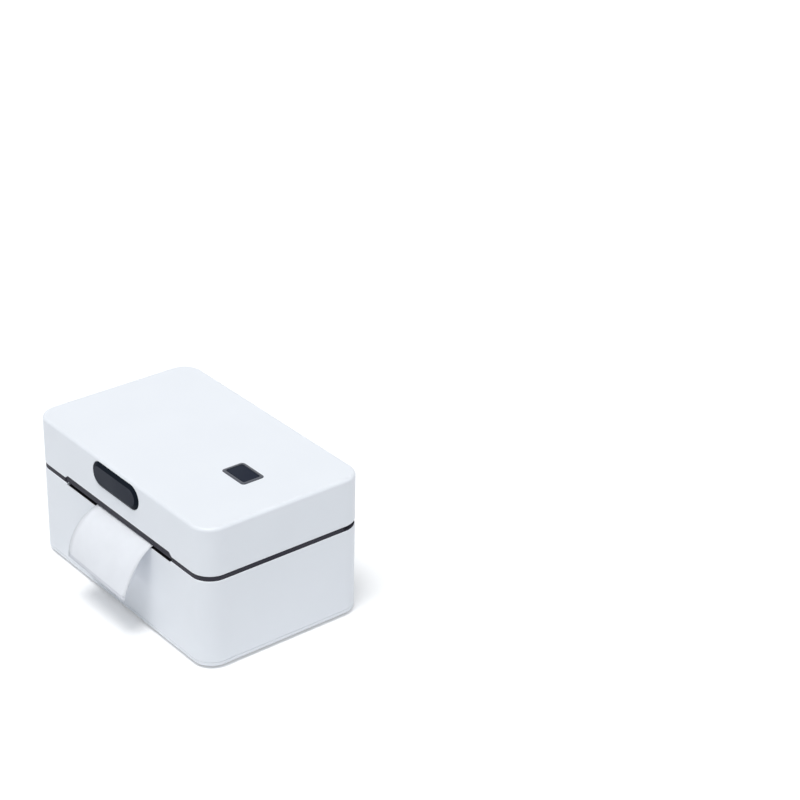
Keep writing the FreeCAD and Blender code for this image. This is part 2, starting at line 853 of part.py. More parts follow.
def motor_screws():
    screws = []
    for y, z in motor_screw_places():
        screw = screw_z(0, 0, x_sheet_out, 1, small_screw_r, small_head_r, small_head_h,
                        sheet_t + motor_ear_t)
        screw.rotate(vec(0, 0, 0), vec(0, 1, 0), 90)
        screw.translate(vec(0, y, z))
        screws.append(screw)
    return group(screws)


def idler_post():
    x_tip = x_train_end + fit_gap
    post = rod_x(chassis_half, x_tip, idler_y, idler_z, journal_r)
    outer_head = rod_x(x_tip, x_tip + rivet_head_t, idler_y, idler_z, rivet_head_r)
    return one(join(post, outer_head))


def platen_shaft():
    x_right = x_train_end + clip_t + fit_gap
    x_left = -x_sheet_out - fit_gap - clip_t - fit_gap
    journals = rod_x(x_left, x_right, platen_y, platen_z, journal_r)
    return one(join(journals, rod_x(-core_half, core_half, platen_y, platen_z, core_r)))


def platen_rubber():
    roll = rod_x(-platen_half, platen_half, platen_y, platen_z, platen_r)
    return one(roll.cut(rod_x(-platen_half, platen_half, platen_y, platen_z, core_r)))


def platen_gear():
    toward_idler = math.atan2(idler_z - platen_z, idler_y - platen_y)
    x0 = x_small + fit_gap
    gear = gear_x(platen_teeth, platen_y, platen_z, toward_idler, x0, x_train_end)
    return one(gear.cut(rod_x(x0, x_train_end, platen_y, platen_z, journal_r)))


def platen_clips():
    starts = (x_train_end, -x_sheet_out - fit_gap - clip_t)
    clips = []
    for x0 in starts:
        clip = rod_x(x0, x0 + clip_t, platen_y, platen_z, clip_r)
        clip = clip.cut(rod_x(x0, x0 + clip_t, platen_y, platen_z, journal_r))
        gap = box(x0, x0 + clip_t, platen_y - clip_t, platen_y + clip_t, platen_z, platen_z + clip_r)
        clips.append(clip.cut(gap))
    return group(clips)


def idler_gear():
    toward_platen = math.atan2(platen_z - idler_z, platen_y - idler_y)
    toward_motor = math.atan2(motor_z - idler_z, motor_y - idler_y)
    gap_turn = math.pi / idler_small_teeth
    big = gear_x(idler_big_teeth, idler_y, idler_z, toward_motor, x_big, x_big + big_gear_t)
    small = gear_x(idler_small_teeth, idler_y, idler_z, toward_platen + gap_turn, x_small, x_train_end)
    hub = rod_x(x_big, x_small + hub_t, idler_y, idler_z, hub_r)
    bore = rod_x(x_big, x_train_end, idler_y, idler_z, journal_r + running_gap)
    return one(join(big, hub, small).cut(bore))


def motor_shaft():
    x_back = chassis_half - motor_len + 2 * motor_ear_r
    return one(rod_x(x_back, x_big + pinion_t + fit_gap, motor_y, motor_z, motor_shaft_r))


def motor_pinion():
    toward_idler = math.atan2(idler_z - motor_z, idler_y - motor_y)
    gap_turn = math.pi / motor_teeth
    pinion = gear_x(motor_teeth, motor_y, motor_z, toward_idler + gap_turn, x_big, x_big + pinion_t)
    return one(pinion.cut(rod_x(x_big, x_big + pinion_t, motor_y, motor_z, motor_shaft_r)))


def rack_back():
    return guide_y + guide_pitch_r + dedendum * guide_module + rack_body


def rack_outline():
    """Rack with a gap at x = 0, where the pinion's tooth points at it; teeth face the pinion."""
    pitch = math.pi * guide_module
    y_pitch = guide_y + guide_pitch_r
    y_root = y_pitch + dedendum * guide_module
    y_tip = y_pitch - addendum * guide_module
    half_root = pitch / 4 * tooth_thin + dedendum * guide_module * math.tan(pressure_angle)
    half_tip = pitch / 4 * tooth_thin - addendum * guide_module * math.tan(pressure_angle)
    x_end = guide_inner + stem_inset + stem_w
    points = [(x_end, rack_back()), (-rack_past, rack_back()), (-rack_past, y_root)]
    teeth_left = int((rack_past - half_root) / pitch - 0.5)
    teeth_right = int((guide_inner - half_root) / pitch - 0.5)
    for i in range(-teeth_left - 1, teeth_right + 1):
        x = (i + 0.5) * pitch
        points += [(x - half_root, y_root), (x - half_tip, y_tip)]
        points += [(x + half_tip, y_tip), (x + half_root, y_root)]
    return points + [(x_end, y_root)]


def media_guide(side):
    z_foot = z_deck_top + fit_gap
    y0 = guide_y - guide_len / 2
    y1 = guide_y + guide_len / 2
    fence = box(guide_inner, guide_inner + guide_wall_t, y0, y1, z_foot, z_foot + guide_wall_h)
    foot = box(guide_inner, guide_inner + guide_foot_w, y0, y1, z_foot, z_foot + guide_foot_t)
    z_rack_top = z_deck - rack_deck_gap
    x_stem = guide_inner + stem_inset
    stem = box(x_stem, x_stem + stem_w, rack_back() - rack_body + fit_gap, rack_back(), z_rack_top, z_foot)
    rack = prism_z(rack_outline(), z_rack_top - rack_t, z_rack_top)
    return one(turned(join(fence, foot, stem, rack), side))


def guide_pinion():
    points = gear_outline(guide_teeth, guide_module, math.pi / 2)
    z1 = z_deck - rack_deck_gap
    gear = prism_z([(x, guide_y + y) for x, y in points], z1 - rack_t, z1)
    return one(gear.cut(rod_z(z1 - rack_t, z1, 0, guide_y, guide_post_r + running_gap)))


def pinion_screw():
    seat = z_deck - rack_deck_gap - rack_t - rack_deck_gap
    washer_r = guide_post_r + small_head_r
    return one(screw_z(0, guide_y, seat, -1, small_screw_r, washer_r, small_head_h, small_screw_len))


def main_board():
    board = box(-board_w / 2, board_w / 2, board_front, board_rear, z_board, z_board_top)
    for x, y in standoff_places():
        board = board.cut(rod_z(z_board, z_board_top, x, y, small_screw_r + fit_gap))
    notch = post_r + board_notch_gap
    for x, y in corners_of(post_x, post_y):
        x_out = math.copysign(half_w, x)
        board = board.cut(box(min(x, x_out), max(x, x_out), y - notch, y + notch, z_board, z_board_top))
        board = board.cut(rod_z(z_board, z_board_top, x, y, notch))
    return one(board)


def board_screws():
    return group([screw_z(x, y, z_board_top, 1, small_screw_r, small_head_r, small_head_h, standoff_h)
                  for x, y in standoff_places()])


def board_parts():
    """Processor, head driver, memory, power coils, electrolytic capacitors and plug headers."""
    row = board_front + chip_row
    back_row = row + capacitor_pitch
    chips = [(0, row, processor_w), (chip_pitch, row, driver_w), (-chip_pitch, row, memory_w),
             (regulator_x, row + chip_pitch, regulator_w)]
    parts = [box(x - w / 2, x + w / 2, y - w / 2, y + w / 2, z_board_top, z_board_top + chip_h)
             for x, y, w in chips]
    inner_x = -capacitor_x + capacitor_pitch
    cans = [(-capacitor_x, row), (-capacitor_x, back_row), (inner_x, row)]
    parts += [rod_z(z_board_top, z_board_top + capacitor_h, x, y, capacitor_r) for x, y in cans]
    for x, y in [(inner_x, back_row), (capacitor_x, back_row)]:
        half = coil_w / 2
        parts.append(rounded_slab(half, half, coil_corner_r, z_board_top, z_board_top + coil_h, x, y))
    y0 = board_front + header_inset
    y1 = y0 + header_d
    x0 = -header_start
    for length in (header_mid, header_short, header_long):
        shroud = box(x0, x0 + length, y0, y1, z_board_top, z_board_top + header_h)
        well = box(x0 + header_wall, x0 + length - header_wall, y0 + header_wall, y1 - header_wall,
                   z_board_top + header_wall, z_board_top + header_h)
        parts.append(shroud.cut(well))
        x0 += length + header_gap
    return group(parts)


def dc_jack():
    y_wall = in_d - fit_gap
    z_axis = z_board_top + jack_axis_up
    y_mouth = half_d - port_recess
    body = box(jack_x - jack_w / 2, jack_x + jack_w / 2, y_wall - jack_len, y_wall,
               z_board_top, z_board_top + jack_h)
    jack = join(body, rod_y(y_wall, y_mouth, jack_x, z_axis, jack_barrel_r))
    y_floor = y_mouth - usb_depth
    jack = jack.cut(rod_y(y_floor, y_mouth, jack_x, z_axis, jack_bore_r))
    pin = rod_y(y_floor - wall, y_mouth - wall, jack_x, z_axis, jack_pin_r)
    return one(jack.fuse(pin).removeSplitter())


def usb_port():
    y_mouth = half_d - port_recess
    body = box(usb_x - usb_w / 2, usb_x + usb_w / 2, y_mouth - usb_len, y_mouth,
               z_board_top, z_board_top + usb_h)
    z_mid = z_board_top + usb_h / 2
    cut_corner = (usb_mouth_w - usb_tongue_w) / 2
    half_mouth_w = usb_mouth_w / 2
    half_mouth_h = usb_mouth_h / 2
    mouth = [(usb_x - half_mouth_w, z_mid - half_mouth_h), (usb_x + half_mouth_w, z_mid - half_mouth_h),
             (usb_x + half_mouth_w, z_mid + half_mouth_h - cut_corner),
             (usb_x + half_mouth_w - cut_corner, z_mid + half_mouth_h),
             (usb_x - half_mouth_w + cut_corner, z_mid + half_mouth_h),
             (usb_x - half_mouth_w, z_mid + half_mouth_h - cut_corner)]
    body = body.cut(prism_y(mouth, y_mouth - usb_depth, y_mouth))
    tongue = box(usb_x - usb_tongue_w / 2, usb_x + usb_tongue_w / 2,
                 y_mouth - usb_depth, y_mouth - port_recess,
                 z_mid - usb_tongue_h / 2, z_mid + usb_tongue_h / 2)
    return one(body.fuse(tongue).removeSplitter())


def rocker_opening_half():
    return math.hypot(rocker_half_h, rocker_bulge + rocker_axis_in) + rocker_gap


def switch_frame():
    half_x = rocker_w / 2 + rocker_gap
    half_z = rocker_opening_half()
    lip = box(rocker_x - half_x - frame_border, rocker_x + half_x + frame_border, half_d, half_d + frame_lip,
              rocker_z - half_z - frame_border, rocker_z + half_z + frame_border)
    lip = lip.makeFillet(frame_lip / 2, flat_edges(lip, "y", half_d + frame_lip))
    y_back = half_d - frame_depth
    tube = box(rocker_x - half_x - frame_wall, rocker_x + half_x + frame_wall, y_back, half_d,
               rocker_z - half_z - frame_wall, rocker_z + half_z + frame_wall)
    hollow = box(rocker_x - half_x, rocker_x + half_x, y_back + frame_wall, half_d + frame_lip,
                 rocker_z - half_z, rocker_z + half_z)
    axle_y = half_d - rocker_axis_in
    frame = join(lip, tube).cut(hollow)
    axle = rod_x(rocker_x - half_x, rocker_x + half_x, axle_y, rocker_z, journal_r / 2)
    return one(frame.fuse(axle).removeSplitter())


def rocker():
    y = half_d - rocker_axis_in
    out = rocker_axis_in + rocker_bulge
    waist = rocker_axis_in + rocker_waist
    outline = [(y + out, rocker_z - rocker_half_h), (y + waist, rocker_z),
               (y + out, rocker_z + rocker_half_h),
               (y - rocker_depth / 2, rocker_z + rocker_back_half), (y - rocker_depth, rocker_z),
               (y - rocker_depth / 2, rocker_z - rocker_back_half)]
    x0 = rocker_x - rocker_w / 2
    x1 = rocker_x + rocker_w / 2
    body = prism_x(outline, x0, x1)
    body = body.cut(rod_x(x0, x1, y, rocker_z, journal_r / 2 + running_gap))
    body.rotate(vec(0, y, rocker_z), vec(1, 0, 0), -rocker_tilt)
    return one(body)


def hinge_pin(side):
    x0 = hinge_ear_x
    x1 = hinge_ear_x + 2 * hinge_ear_t + hinge_side_gap
    return one(rod_x(min(side * x0, side * x1), max(side * x0, side * x1), hinge_y, hinge_z, hinge_pin_r))


def label_strip():
    """Flat run through the printer, then a quarter turn down past the slot."""
    y_curl = -half_d + curl_start
    y_end = y_curl - curl_r - strip_t
    z_top = z_strip + strip_t
    z_centre = z_strip - curl_r
    y_tail = -y_end
    x0 = strip_x - strip_w / 2
    bow = math.sqrt(0.5)

    def at(y, z):
        return vec(x0, y, z)

    def turn(r):
        return at(y_curl - r * bow, z_centre + r * bow)

    outer_r = curl_r + strip_t
    edges = [
        Part.LineSegment(at(y_tail, z_top), at(y_curl, z_top)),
        Part.Arc(at(y_curl, z_top), turn(outer_r), at(y_end, z_centre)),
        Part.LineSegment(at(y_end, z_centre), at(y_end, z_centre - curl_drop)),
        Part.LineSegment(at(y_end, z_centre - curl_drop), at(y_end + strip_t, z_centre - curl_drop)),
        Part.LineSegment(at(y_end + strip_t, z_centre - curl_drop), at(y_end + strip_t, z_centre)),
        Part.Arc(at(y_end + strip_t, z_centre), turn(curl_r), at(y_curl, z_strip)),
        Part.LineSegment(at(y_curl, z_strip), at(y_tail, z_strip)),
        Part.LineSegment(at(y_tail, z_strip), at(y_tail, z_top)),
    ]
    wire = Part.Wire([e.toShape() for e in edges])
    return one(Part.Face(wire).extrude(vec(strip_w, 0, 0)))


def lid_ear(side):
    x0 = hinge_ear_x + hinge_ear_t + hinge_side_gap
    x1 = x0 + hinge_ear_t
    low = min(side * x0, side * x1)
    high = max(side * x0, side * x1)
    eye = rod_x(low, high, hinge_y, hinge_z, hinge_ear_r)
    web = box(low, high, hinge_y - hinge_ear_r / 2, in_d + wall / 2, hinge_z, z_roof + wall / 2)
    return eye.fuse(web).cut(rod_x(low, high, hinge_y, hinge_z, hinge_pin_r + running_gap))


def lid_bosses():
    """Posts that hang from the lid's roof."""
    top = z_roof + wall / 2
    posts = []
    for x, y in corners_of(liner_boss_x, liner_boss_y):
        post = rod_z(z_liner_top, top, x, y, liner_boss_r)
        posts.append(post.cut(rod_z(z_liner_top, z_liner_top + screw_len, x, y, screw_r + thread_gap)))
    y_anchor = y_slider + slider_t + latch_spring_len
    for side in (-1, 1):
        x = side * head_spring_x
        posts.append(rod_z(head_spring_seat_z, top, x, head_spring_y, head_spring_r + fit_gap))
        peg_r = head_spring_r - spring_wall - fit_gap
        posts.append(rod_z(head_spring_seat_z - screw_len / 2, top, x, head_spring_y, peg_r))
        x = side * latch_spring_x
        half = latch_spring_r + fit_gap
        posts.append(box(x - half, x + half, y_anchor, y_anchor + anchor_t, slider_z - half, top))
        x = key_x + side * key_screw_x
        post = rod_z(z_key_board_top, top, x, key_y, key_post_r)
        hole = rod_z(z_key_board_top, z_key_board_top + small_screw_len, x, key_y, small_screw_r + thread_gap)
        posts.append(post.cut(hole))
    return posts


def bar_outline(gap):
    z0 = z_lid_bottom
    z1 = z_lid_bottom + bar_top_rise
    return [(-bar_half - gap, z0), (bar_half + gap, z0), (bar_half - bar_bevel + gap, z1),
            (-bar_half + bar_bevel - gap, z1)]


def lid_shell():
    outer = rounded_slab(half_w, half_d, corner_r, z_lid_bottom, z_lid_top)
    outer = one(outer.makeFillet(lid_edge_r, flat_edges(outer, "z", z_lid_top)))
    outer = one(outer.makeFillet(lid_lip_r, flat_edges(outer, "z", z_lid_bottom)))
    lid = outer.cut(rounded_slab(in_w, in_d, in_r, z_lid_bottom, z_roof))
    for piece in lid_bosses() + [lid_ear(-1), lid_ear(1)]:
        lid = lid.fuse(piece)
    lid = lid.removeSplitter()
    c = lid_rear_chamfer + wall
    bevel = [(half_d - c, z_lid_bottom - wall), (half_d + wall, z_lid_bottom - wall),
             (half_d + wall, z_lid_bottom + c)]
    lid = lid.cut(prism_x(bevel, -half_w, half_w))
    lid = lid.cut(prism_y(bar_outline(0), -half_d, -in_d))
    lid = lid.cut(box(-inlet_half, inlet_half, in_d, half_d, z_lid_bottom, z_lid_bottom + inlet_rise))
    pocket_end = y_pill_back + latch_travel + slide_gap
    lid = lid.cut(pill_y(pill_w + 2 * pill_gap, pill_h + 2 * pill_gap, pill_z, -half_d, pocket_end))
    lid = lid.cut(key_slab(key_gap + bezel_skirt, z_roof, z_lid_top))
    return one(lid)


def lid_liner():
    liner = rounded_slab(in_w - fit_gap, in_d - fit_gap, in_r - fit_gap, z_liner, z_liner_top)
    for side in (-1, 1):
        x0 = min(side * lug_x, side * (lug_x + lug_t))
        post = box(x0, x0 + lug_t, pivot_y - pivot_boss_r, pivot_y + pivot_boss_r, z_liner_top, pivot_z)
        eye = rod_x(x0, x0 + lug_t, pivot_y, pivot_z, pivot_boss_r)
        liner = liner.fuse(post.fuse(eye).cut(rod_x(x0, x0 + lug_t, pivot_y, pivot_z, pivot_r)))
    liner = liner.removeSplitter()
    liner = liner.cut(box(-head_window_half, head_window_half, -half_d, head_window_rear,
                          z_liner, z_liner_top))
    y_clear = y_leg + slider_t + latch_travel + leg_front_gap
    for side in (-1, 1):
        x = side * leg_x
        half = leg_w / 2 + loose_gap
        liner = liner.cut(box(x - half, x + half, -half_d, y_clear, z_liner, z_liner_top))
        x_in = hinge_ear_x - hinge_side_gap
        x_out = hinge_ear_x + 2 * hinge_ear_t + 2 * hinge_side_gap
        liner = liner.cut(box(min(side * x_in, side * x_out), max(side * x_in, side * x_out),
                              neck_y - 2 * hinge_side_gap, half_d, z_liner, z_liner_top))
    for x, y in corners_of(liner_boss_x, liner_boss_y):
        liner = liner.cut(rod_z(z_liner, z_liner_top, x, y, screw_r + fit_gap))
    return one(liner)


def liner_screws():
    return group([screw_z(x, y, z_liner, -1, screw_r, screw_head_r, screw_head_h, screw_len)
                  for x, y in corners_of(liner_boss_x, liner_boss_y)])


def tear_bar():
    y_front = -half_d + bar_inset
    z_low = z_lid_bottom - bar_below
    face = prism_y(bar_outline(0), y_front, -in_d)
    lower = box(-bar_half, bar_half, y_front, -in_d + bar_flange_t, z_low, z_lid_bottom)
    half = bar_half - bar_bevel
    flange = box(-half, half, -in_d, -in_d + bar_flange_t, z_low, z_lid_bottom + bar_top_rise + bar_flange_h)
    return one(join(face, lower, flange))


def release_button():
    """Pill whose wide bevel rises from the lid's front, with two stems to the latch."""
    rim = pill_wire(pill_w, pill_h, pill_z, -half_d)
    face = pill_wire(pill_w - 2 * pill_bevel, pill_h - 2 * pill_bevel, pill_z, y_pill)
    pill = pill_y(pill_w, pill_h, pill_z, -half_d, y_pill_back)
    pill = pill.fuse(Part.makeLoft([rim, face], True, True))
    for side in (-1, 1):
        pill = pill.fuse(rod_y(y_pill_back, y_slider, side * stem_x, slider_z, stem_r))
    return one(pill.removeSplitter())


def latch_slider():
    reach = leg_x + leg_w / 2
    z0 = slider_z - slider_h / 2
    z1 = slider_z + slider_h / 2
    slider = box(-reach, reach, y_slider, y_slider + slider_t, z0, z1)
    z_nose_top = z_deck - nose_below_deck
    z_tip = z_nose_top - nose_h
    nose = [(y_leg, z_tip), (y_leg, z_nose_top), (y_leg - leg_nose, z_nose_top)]
    for side in (-1, 1):
        x = side * leg_x
        leg = box(x - leg_w / 2, x + leg_w / 2, y_leg, y_leg + slider_t, z_tip, z1)
        slider = slider.fuse(leg).fuse(prism_x(nose, x - leg_w / 2, x + leg_w / 2))
        peg_r = latch_spring_r - spring_wall - fit_gap
        y_back = y_slider + slider_t
        slider = slider.fuse(rod_y(y_back, y_back + anchor_t, side * latch_spring_x, slider_z, peg_r))
    return one(slider.removeSplitter())


def latch_springs():
    y0 = y_slider + slider_t
    y1 = y0 + latch_spring_len
    inner_r = latch_spring_r - spring_wall
    springs = []
    for side in (-1, 1):
        x = side * latch_spring_x
        coil = rod_y(y0, y1, x, slider_z, latch_spring_r)
        springs.append(coil.cut(rod_y(y0, y1, x, slider_z, inner_r)))
    return group(springs)


def head_springs():
    inner_r = head_spring_r - spring_wall
    springs = []
    for side in (-1, 1):
        x = side * head_spring_x
        coil = rod_z(z_bracket_top, head_spring_seat_z, x, head_spring_y, head_spring_r)
        springs.append(coil.cut(rod_z(z_bracket_top, head_spring_seat_z, x, head_spring_y, inner_r)))
    return group(springs)


def thermal_head():
    return one(box(-platen_half, platen_half, head_front, head_rear, z_head, z_bracket))


def head_bracket():
    bracket = box(-bracket_half, bracket_half, bracket_front, bracket_rear, z_bracket, z_bracket_top)
    dy = pivot_y - bracket_rear
    dz = pivot_z - (z_bracket + z_bracket_top) / 2
    across_y = -dz / math.hypot(dy, dz) * pivot_boss_r
    across_z = dy / math.hypot(dy, dz) * pivot_boss_r
    arm = [(bracket_rear - 2 * pivot_boss_r, z_bracket_top), (bracket_rear, z_bracket),
           (pivot_y - across_y, pivot_z - across_z), (pivot_y + across_y, pivot_z + across_z)]
    for side in (-1, 1):
        x0 = min(side * bracket_ear_x, side * (bracket_ear_x + bracket_ear_t))
        x1 = x0 + bracket_ear_t
        ear = prism_x(arm, x0, x1).fuse(rod_x(x0, x1, pivot_y, pivot_z, pivot_boss_r))
        bracket = bracket.fuse(ear.cut(rod_x(x0, x1, pivot_y, pivot_z, pivot_r + running_gap)))
    return one(bracket.removeSplitter())


def head_pivot_pin():
    reach = lug_x + lug_t
    return one(rod_x(-reach, reach, pivot_y, pivot_z, pivot_r))


def key_slab(grow, z0, z1):
    return rounded_slab(key_w / 2 + grow, key_d / 2 + grow, key_corner_r, z0, z1, key_x, key_y)


def bezel_slab(inset, z0, z1):
    return rounded_slab(bezel_w / 2 - inset, bezel_d / 2 - inset, bezel_corner_r - inset, z0, z1, key_x, key_y)


def button_bezel():
    z_top = z_lid_top + bezel_proud
    z_edge = z_lid_top + bezel_edge
    lip = bezel_slab(0, z_lid_top, z_edge)
    foot = Part.Wire(Part.__sortEdges__(flat_edges(lip, "z", z_edge)))
    crown = Part.Wire(Part.__sortEdges__(flat_edges(bezel_slab(bezel_bevel, z_edge, z_top), "z", z_top)))
    lip = lip.fuse(Part.makeLoft([foot, crown], True, True))
    z_end = z_roof - bezel_skirt_len
    skirt = key_slab(key_gap + bezel_skirt, z_end, z_lid_top)
    return one(join(lip, skirt).cut(key_slab(key_gap, z_end, z_top)))


def feed_key():
    cap = key_slab(0, z_key_base, z_key)
    cap = one(cap.makeFillet(key_edge_r, flat_edges(cap, "z", z_key)))
    flange = key_slab(key_gap + key_flange, z_key_base, z_key_base + key_flange_t)
    return one(join(cap, flange))


def tact_switch():
    half = switch_w / 2
    z1 = z_key_board_top + switch_h
    body = box(key_x - half, key_x + half, key_y - half, key_y + half, z_key_board_top, z1)
    return one(join(body, rod_z(z1, z1 + plunger_h, key_x, key_y, plunger_r)))


def button_board():
    z0 = z_key_board_top - key_board_t
    board = rounded_slab(key_board_w / 2, key_board_d / 2, key_corner_r, z0, z_key_board_top, key_x, key_y)
    for side in (-1, 1):
        hole = rod_z(z0, z_key_board_top, key_x + side * key_screw_x, key_y, small_screw_r + fit_gap)
        board = board.cut(hole)
    return one(board)


def key_screws():
    seat = z_key_board_top - key_board_t
    return group([screw_z(key_x + side * key_screw_x, key_y, seat, -1, small_screw_r, small_head_r,
                          small_head_h, small_screw_len) for side in (-1, 1)])


def pieces():
    return {
        "base_shell": base_shell(),
        "bottom_plate": bottom_plate(),
        "rubber_feet": rubber_feet(),
        "bottom_screws": bottom_screws(),
        "media_deck": media_deck(),
        "seam_rim": seam_rim(),
        "deck_screws": deck_screws(),
        "gap_sensor": gap_sensor(),
        "chassis_frame": chassis_frame(),
        "chassis_screws": chassis_screws(),
        "platen_bush_left": platen_bush(-1),
        "platen_bush_right": platen_bush(1),
        "platen_shaft": platen_shaft(),
        "platen_rubber": platen_rubber(),
        "platen_gear": platen_gear(),
        "platen_clips": platen_clips(),
        "idler_post": idler_post(),
        "idler_gear": idler_gear(),
        "stepper_motor": stepper_motor(),
        "motor_screws": motor_screws(),
        "motor_shaft": motor_shaft(),
        "motor_pinion": motor_pinion(),
        "media_guide_left": media_guide(-1),
        "media_guide_right": media_guide(1),
        "guide_pinion": guide_pinion(),
        "pinion_screw": pinion_screw(),
        "main_board": main_board(),
        "board_parts": board_parts(),
        "board_screws": board_screws(),
        "dc_jack": dc_jack(),
        "usb_port": usb_port(),
        "switch_frame": switch_frame(),
        "rocker": rocker(),
        "hinge_pin_left": hinge_pin(-1),
        "hinge_pin_right": hinge_pin(1),
        "label_strip": label_strip(),
        "lid_shell": lid_shell(),
        "lid_liner": lid_liner(),
        "liner_screws": liner_screws(),
        "tear_bar": tear_bar(),
        "release_button": release_button(),
        "latch_slider": latch_slider(),
        "latch_springs": latch_springs(),
        "head_bracket": head_bracket(),
        "thermal_head": thermal_head(),
        "head_pivot_pin": head_pivot_pin(),
        "head_springs": head_springs(),
        "button_bezel": button_bezel(),
        "feed_key": feed_key(),
        "tact_switch": tact_switch(),
        "button_board": button_board(),
        "key_screws": key_screws(),
    }


os.makedirs("parts", exist_ok=True)
for name, shape in pieces().items():
    print(name, len(shape.Solids), shape.isValid(), round(shape.Volume, 1))
    shape.exportStep("parts/" + name + ".step")
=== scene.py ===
import bisect
import json
import math

import bmesh
import bpy
from mathutils import Matrix, Vector
from mathutils.bvhtree import BVHTree


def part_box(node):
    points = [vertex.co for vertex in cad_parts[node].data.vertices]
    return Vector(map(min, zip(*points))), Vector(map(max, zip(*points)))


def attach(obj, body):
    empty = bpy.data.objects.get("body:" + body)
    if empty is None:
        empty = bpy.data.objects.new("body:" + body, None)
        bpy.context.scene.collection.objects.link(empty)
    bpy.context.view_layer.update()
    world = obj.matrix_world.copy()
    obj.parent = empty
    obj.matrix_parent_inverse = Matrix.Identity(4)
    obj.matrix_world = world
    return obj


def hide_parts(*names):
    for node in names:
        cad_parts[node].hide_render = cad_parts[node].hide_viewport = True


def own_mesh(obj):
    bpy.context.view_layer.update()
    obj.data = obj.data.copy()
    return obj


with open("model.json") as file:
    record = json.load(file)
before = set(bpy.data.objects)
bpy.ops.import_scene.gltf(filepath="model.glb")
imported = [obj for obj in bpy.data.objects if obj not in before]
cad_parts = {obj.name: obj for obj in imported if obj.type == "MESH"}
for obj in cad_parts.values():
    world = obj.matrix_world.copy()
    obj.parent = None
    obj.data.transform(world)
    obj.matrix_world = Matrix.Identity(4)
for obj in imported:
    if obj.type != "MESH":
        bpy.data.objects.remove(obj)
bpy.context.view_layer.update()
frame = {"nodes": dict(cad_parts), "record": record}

# Looks of the desktop thermal label printer. The scene is in metres, with +Z up and the front at -Y.
# Sizes named below are in mm unless their line says otherwise.
MM = 0.001
NODES = frame["nodes"]
Y_AXIS = 1
Z_AXIS = 2

# Camera, fitted to the casing's edges in an 800 pixel square frame, with its distance in metres
IMAGE_PX = 800
FOCAL_PX = 2192.1
TARGET_PX = (197.5, 508.5)
AZIMUTH = math.radians(50.2)
ELEVATION = math.radians(27.62)
ROLL = math.radians(1.42)
DISTANCE = 1.1023
SENSOR_MM = 36.0

# Stage, with the floor's size in metres
FLOOR_HALF = 4.0
FLOOR_GLOW = 0.2
FLOOR_DARK = (0.9, 0.905, 0.915, 1.0)
FLOOR_LIGHT = (0.92, 0.925, 0.93, 1.0)
SKY_COLOUR = (0.9, 0.95, 1.0, 1.0)
SKY_STRENGTH = 0.31
BLACK = (0.0, 0.0, 0.0, 1.0)
WHITE = (1.0, 1.0, 1.0, 1.0)

# Label strip: the cubic curve of each edge from the slot to its front end, by four control points that
# are measured back and up from the front lower edge of the CAD strip's box
CURL_LEFT = ((22.9, 24.2), (10.3, 24.2), (0.0, 13.2), (0.0, 0.2))
CURL_RIGHT = ((18.3, 24.2), (14.6, 24.2), (4.2, 14.4), (0.1, -1.5))
TAIL_SAG = 1.5
TAIL_RUN = 24.0
LINER_T = 0.14
EDGE_STEPS = 60
LINER_ROWS = 120
STRIP_COLUMNS = 17
SLOPE_STEP = 0.2

# Labels on the strip, which is bare for LABEL_END at its front and LABEL_TAIL at its rear
LABEL_LENGTH = 30.0
LABEL_GAP = 3.0
LABEL_SIDE = 0.3
LABEL_END = 2.2
LABEL_TAIL = 0.1
LABEL_T = 0.1
LABEL_CLEARANCE = 0.005
LABEL_CORNER_R = 1.5
LABEL_CORNER_STEPS = 5
LABEL_ROW_STEP = 1.2

# Springs
LATCH_WIRE_R = 0.25
LATCH_TURNS = 7
HEAD_WIRE_R = 0.35
HEAD_TURNS = 6
STEPS_PER_TURN = 24
WIRE_SIDES = 8

# Data port: the tongue in its mouth, and the contacts on the tongue's upper and lower face
TONGUE_W = 5.7
TONGUE_H = 3.3
TONGUE_LENGTH = 8.4
TONGUE_INSET = 0.5
TONGUE_BEVEL = 0.4
CONTACT_X = 1.3
CONTACT_W = 1.0
CONTACT_T = 0.24
CONTACT_SHORTER = 0.9
CONTACT_BEVEL = 0.1
BEVEL_STEPS = 3

# Barrel jack's pin: its axis above the jack's foot, its ends in from the jack's mouth, and the height of
# its domed tip as a share of its radius, with the dome's rings by their angles in radians
PIN_R = 1.05
PIN_UP = 6.5
PIN_FOOT = 9.0
PIN_TIP = 2.1
PIN_DOME_SHARE = 0.6
PIN_DOME_ANGLES = (0.4, 0.8, 1.2, 1.5)
PIN_SIDES = 24

# Rocker's line and circle, each at its reach from the rocker's middle, and the circle's two radii
MARK_REACH = 3.9
MARK_T = 0.05
MARK_LIFT = 0.03
MARK_LINE_W = 0.56
MARK_LINE_H = 2.5
MARK_LINE_ROWS = 5
MARK_CIRCLE_R = (0.85, 1.3)
MARK_CIRCLE_STEPS = 40
RAY_RUN = 10.0

# Print head's underside: heater glaze and the resin over its driver chips
GLAZE_W = 1.2
GLAZE_END = 1.5
RESIN_W = 2.6
RESIN_END = 6.0
RESIN_INSET = 2.4
BEAD_DEPTH = 0.09
BEAD_POINTS = 9


def srgb(r, g, b):
    """Colour written as 0 to 255 screen values, as the linear colour that shaders take."""
    def linear(c):
        c /= 255
        return c / 12.92 if c <= 0.04045 else ((c + 0.055) / 1.055) ** 2.4
    return (linear(r), linear(g), linear(b), 1.0)


def mixed(a, b, share):
    """Colour a with a share of colour b in it."""
    return tuple(x + (y - x) * share for x, y in zip(a, b))


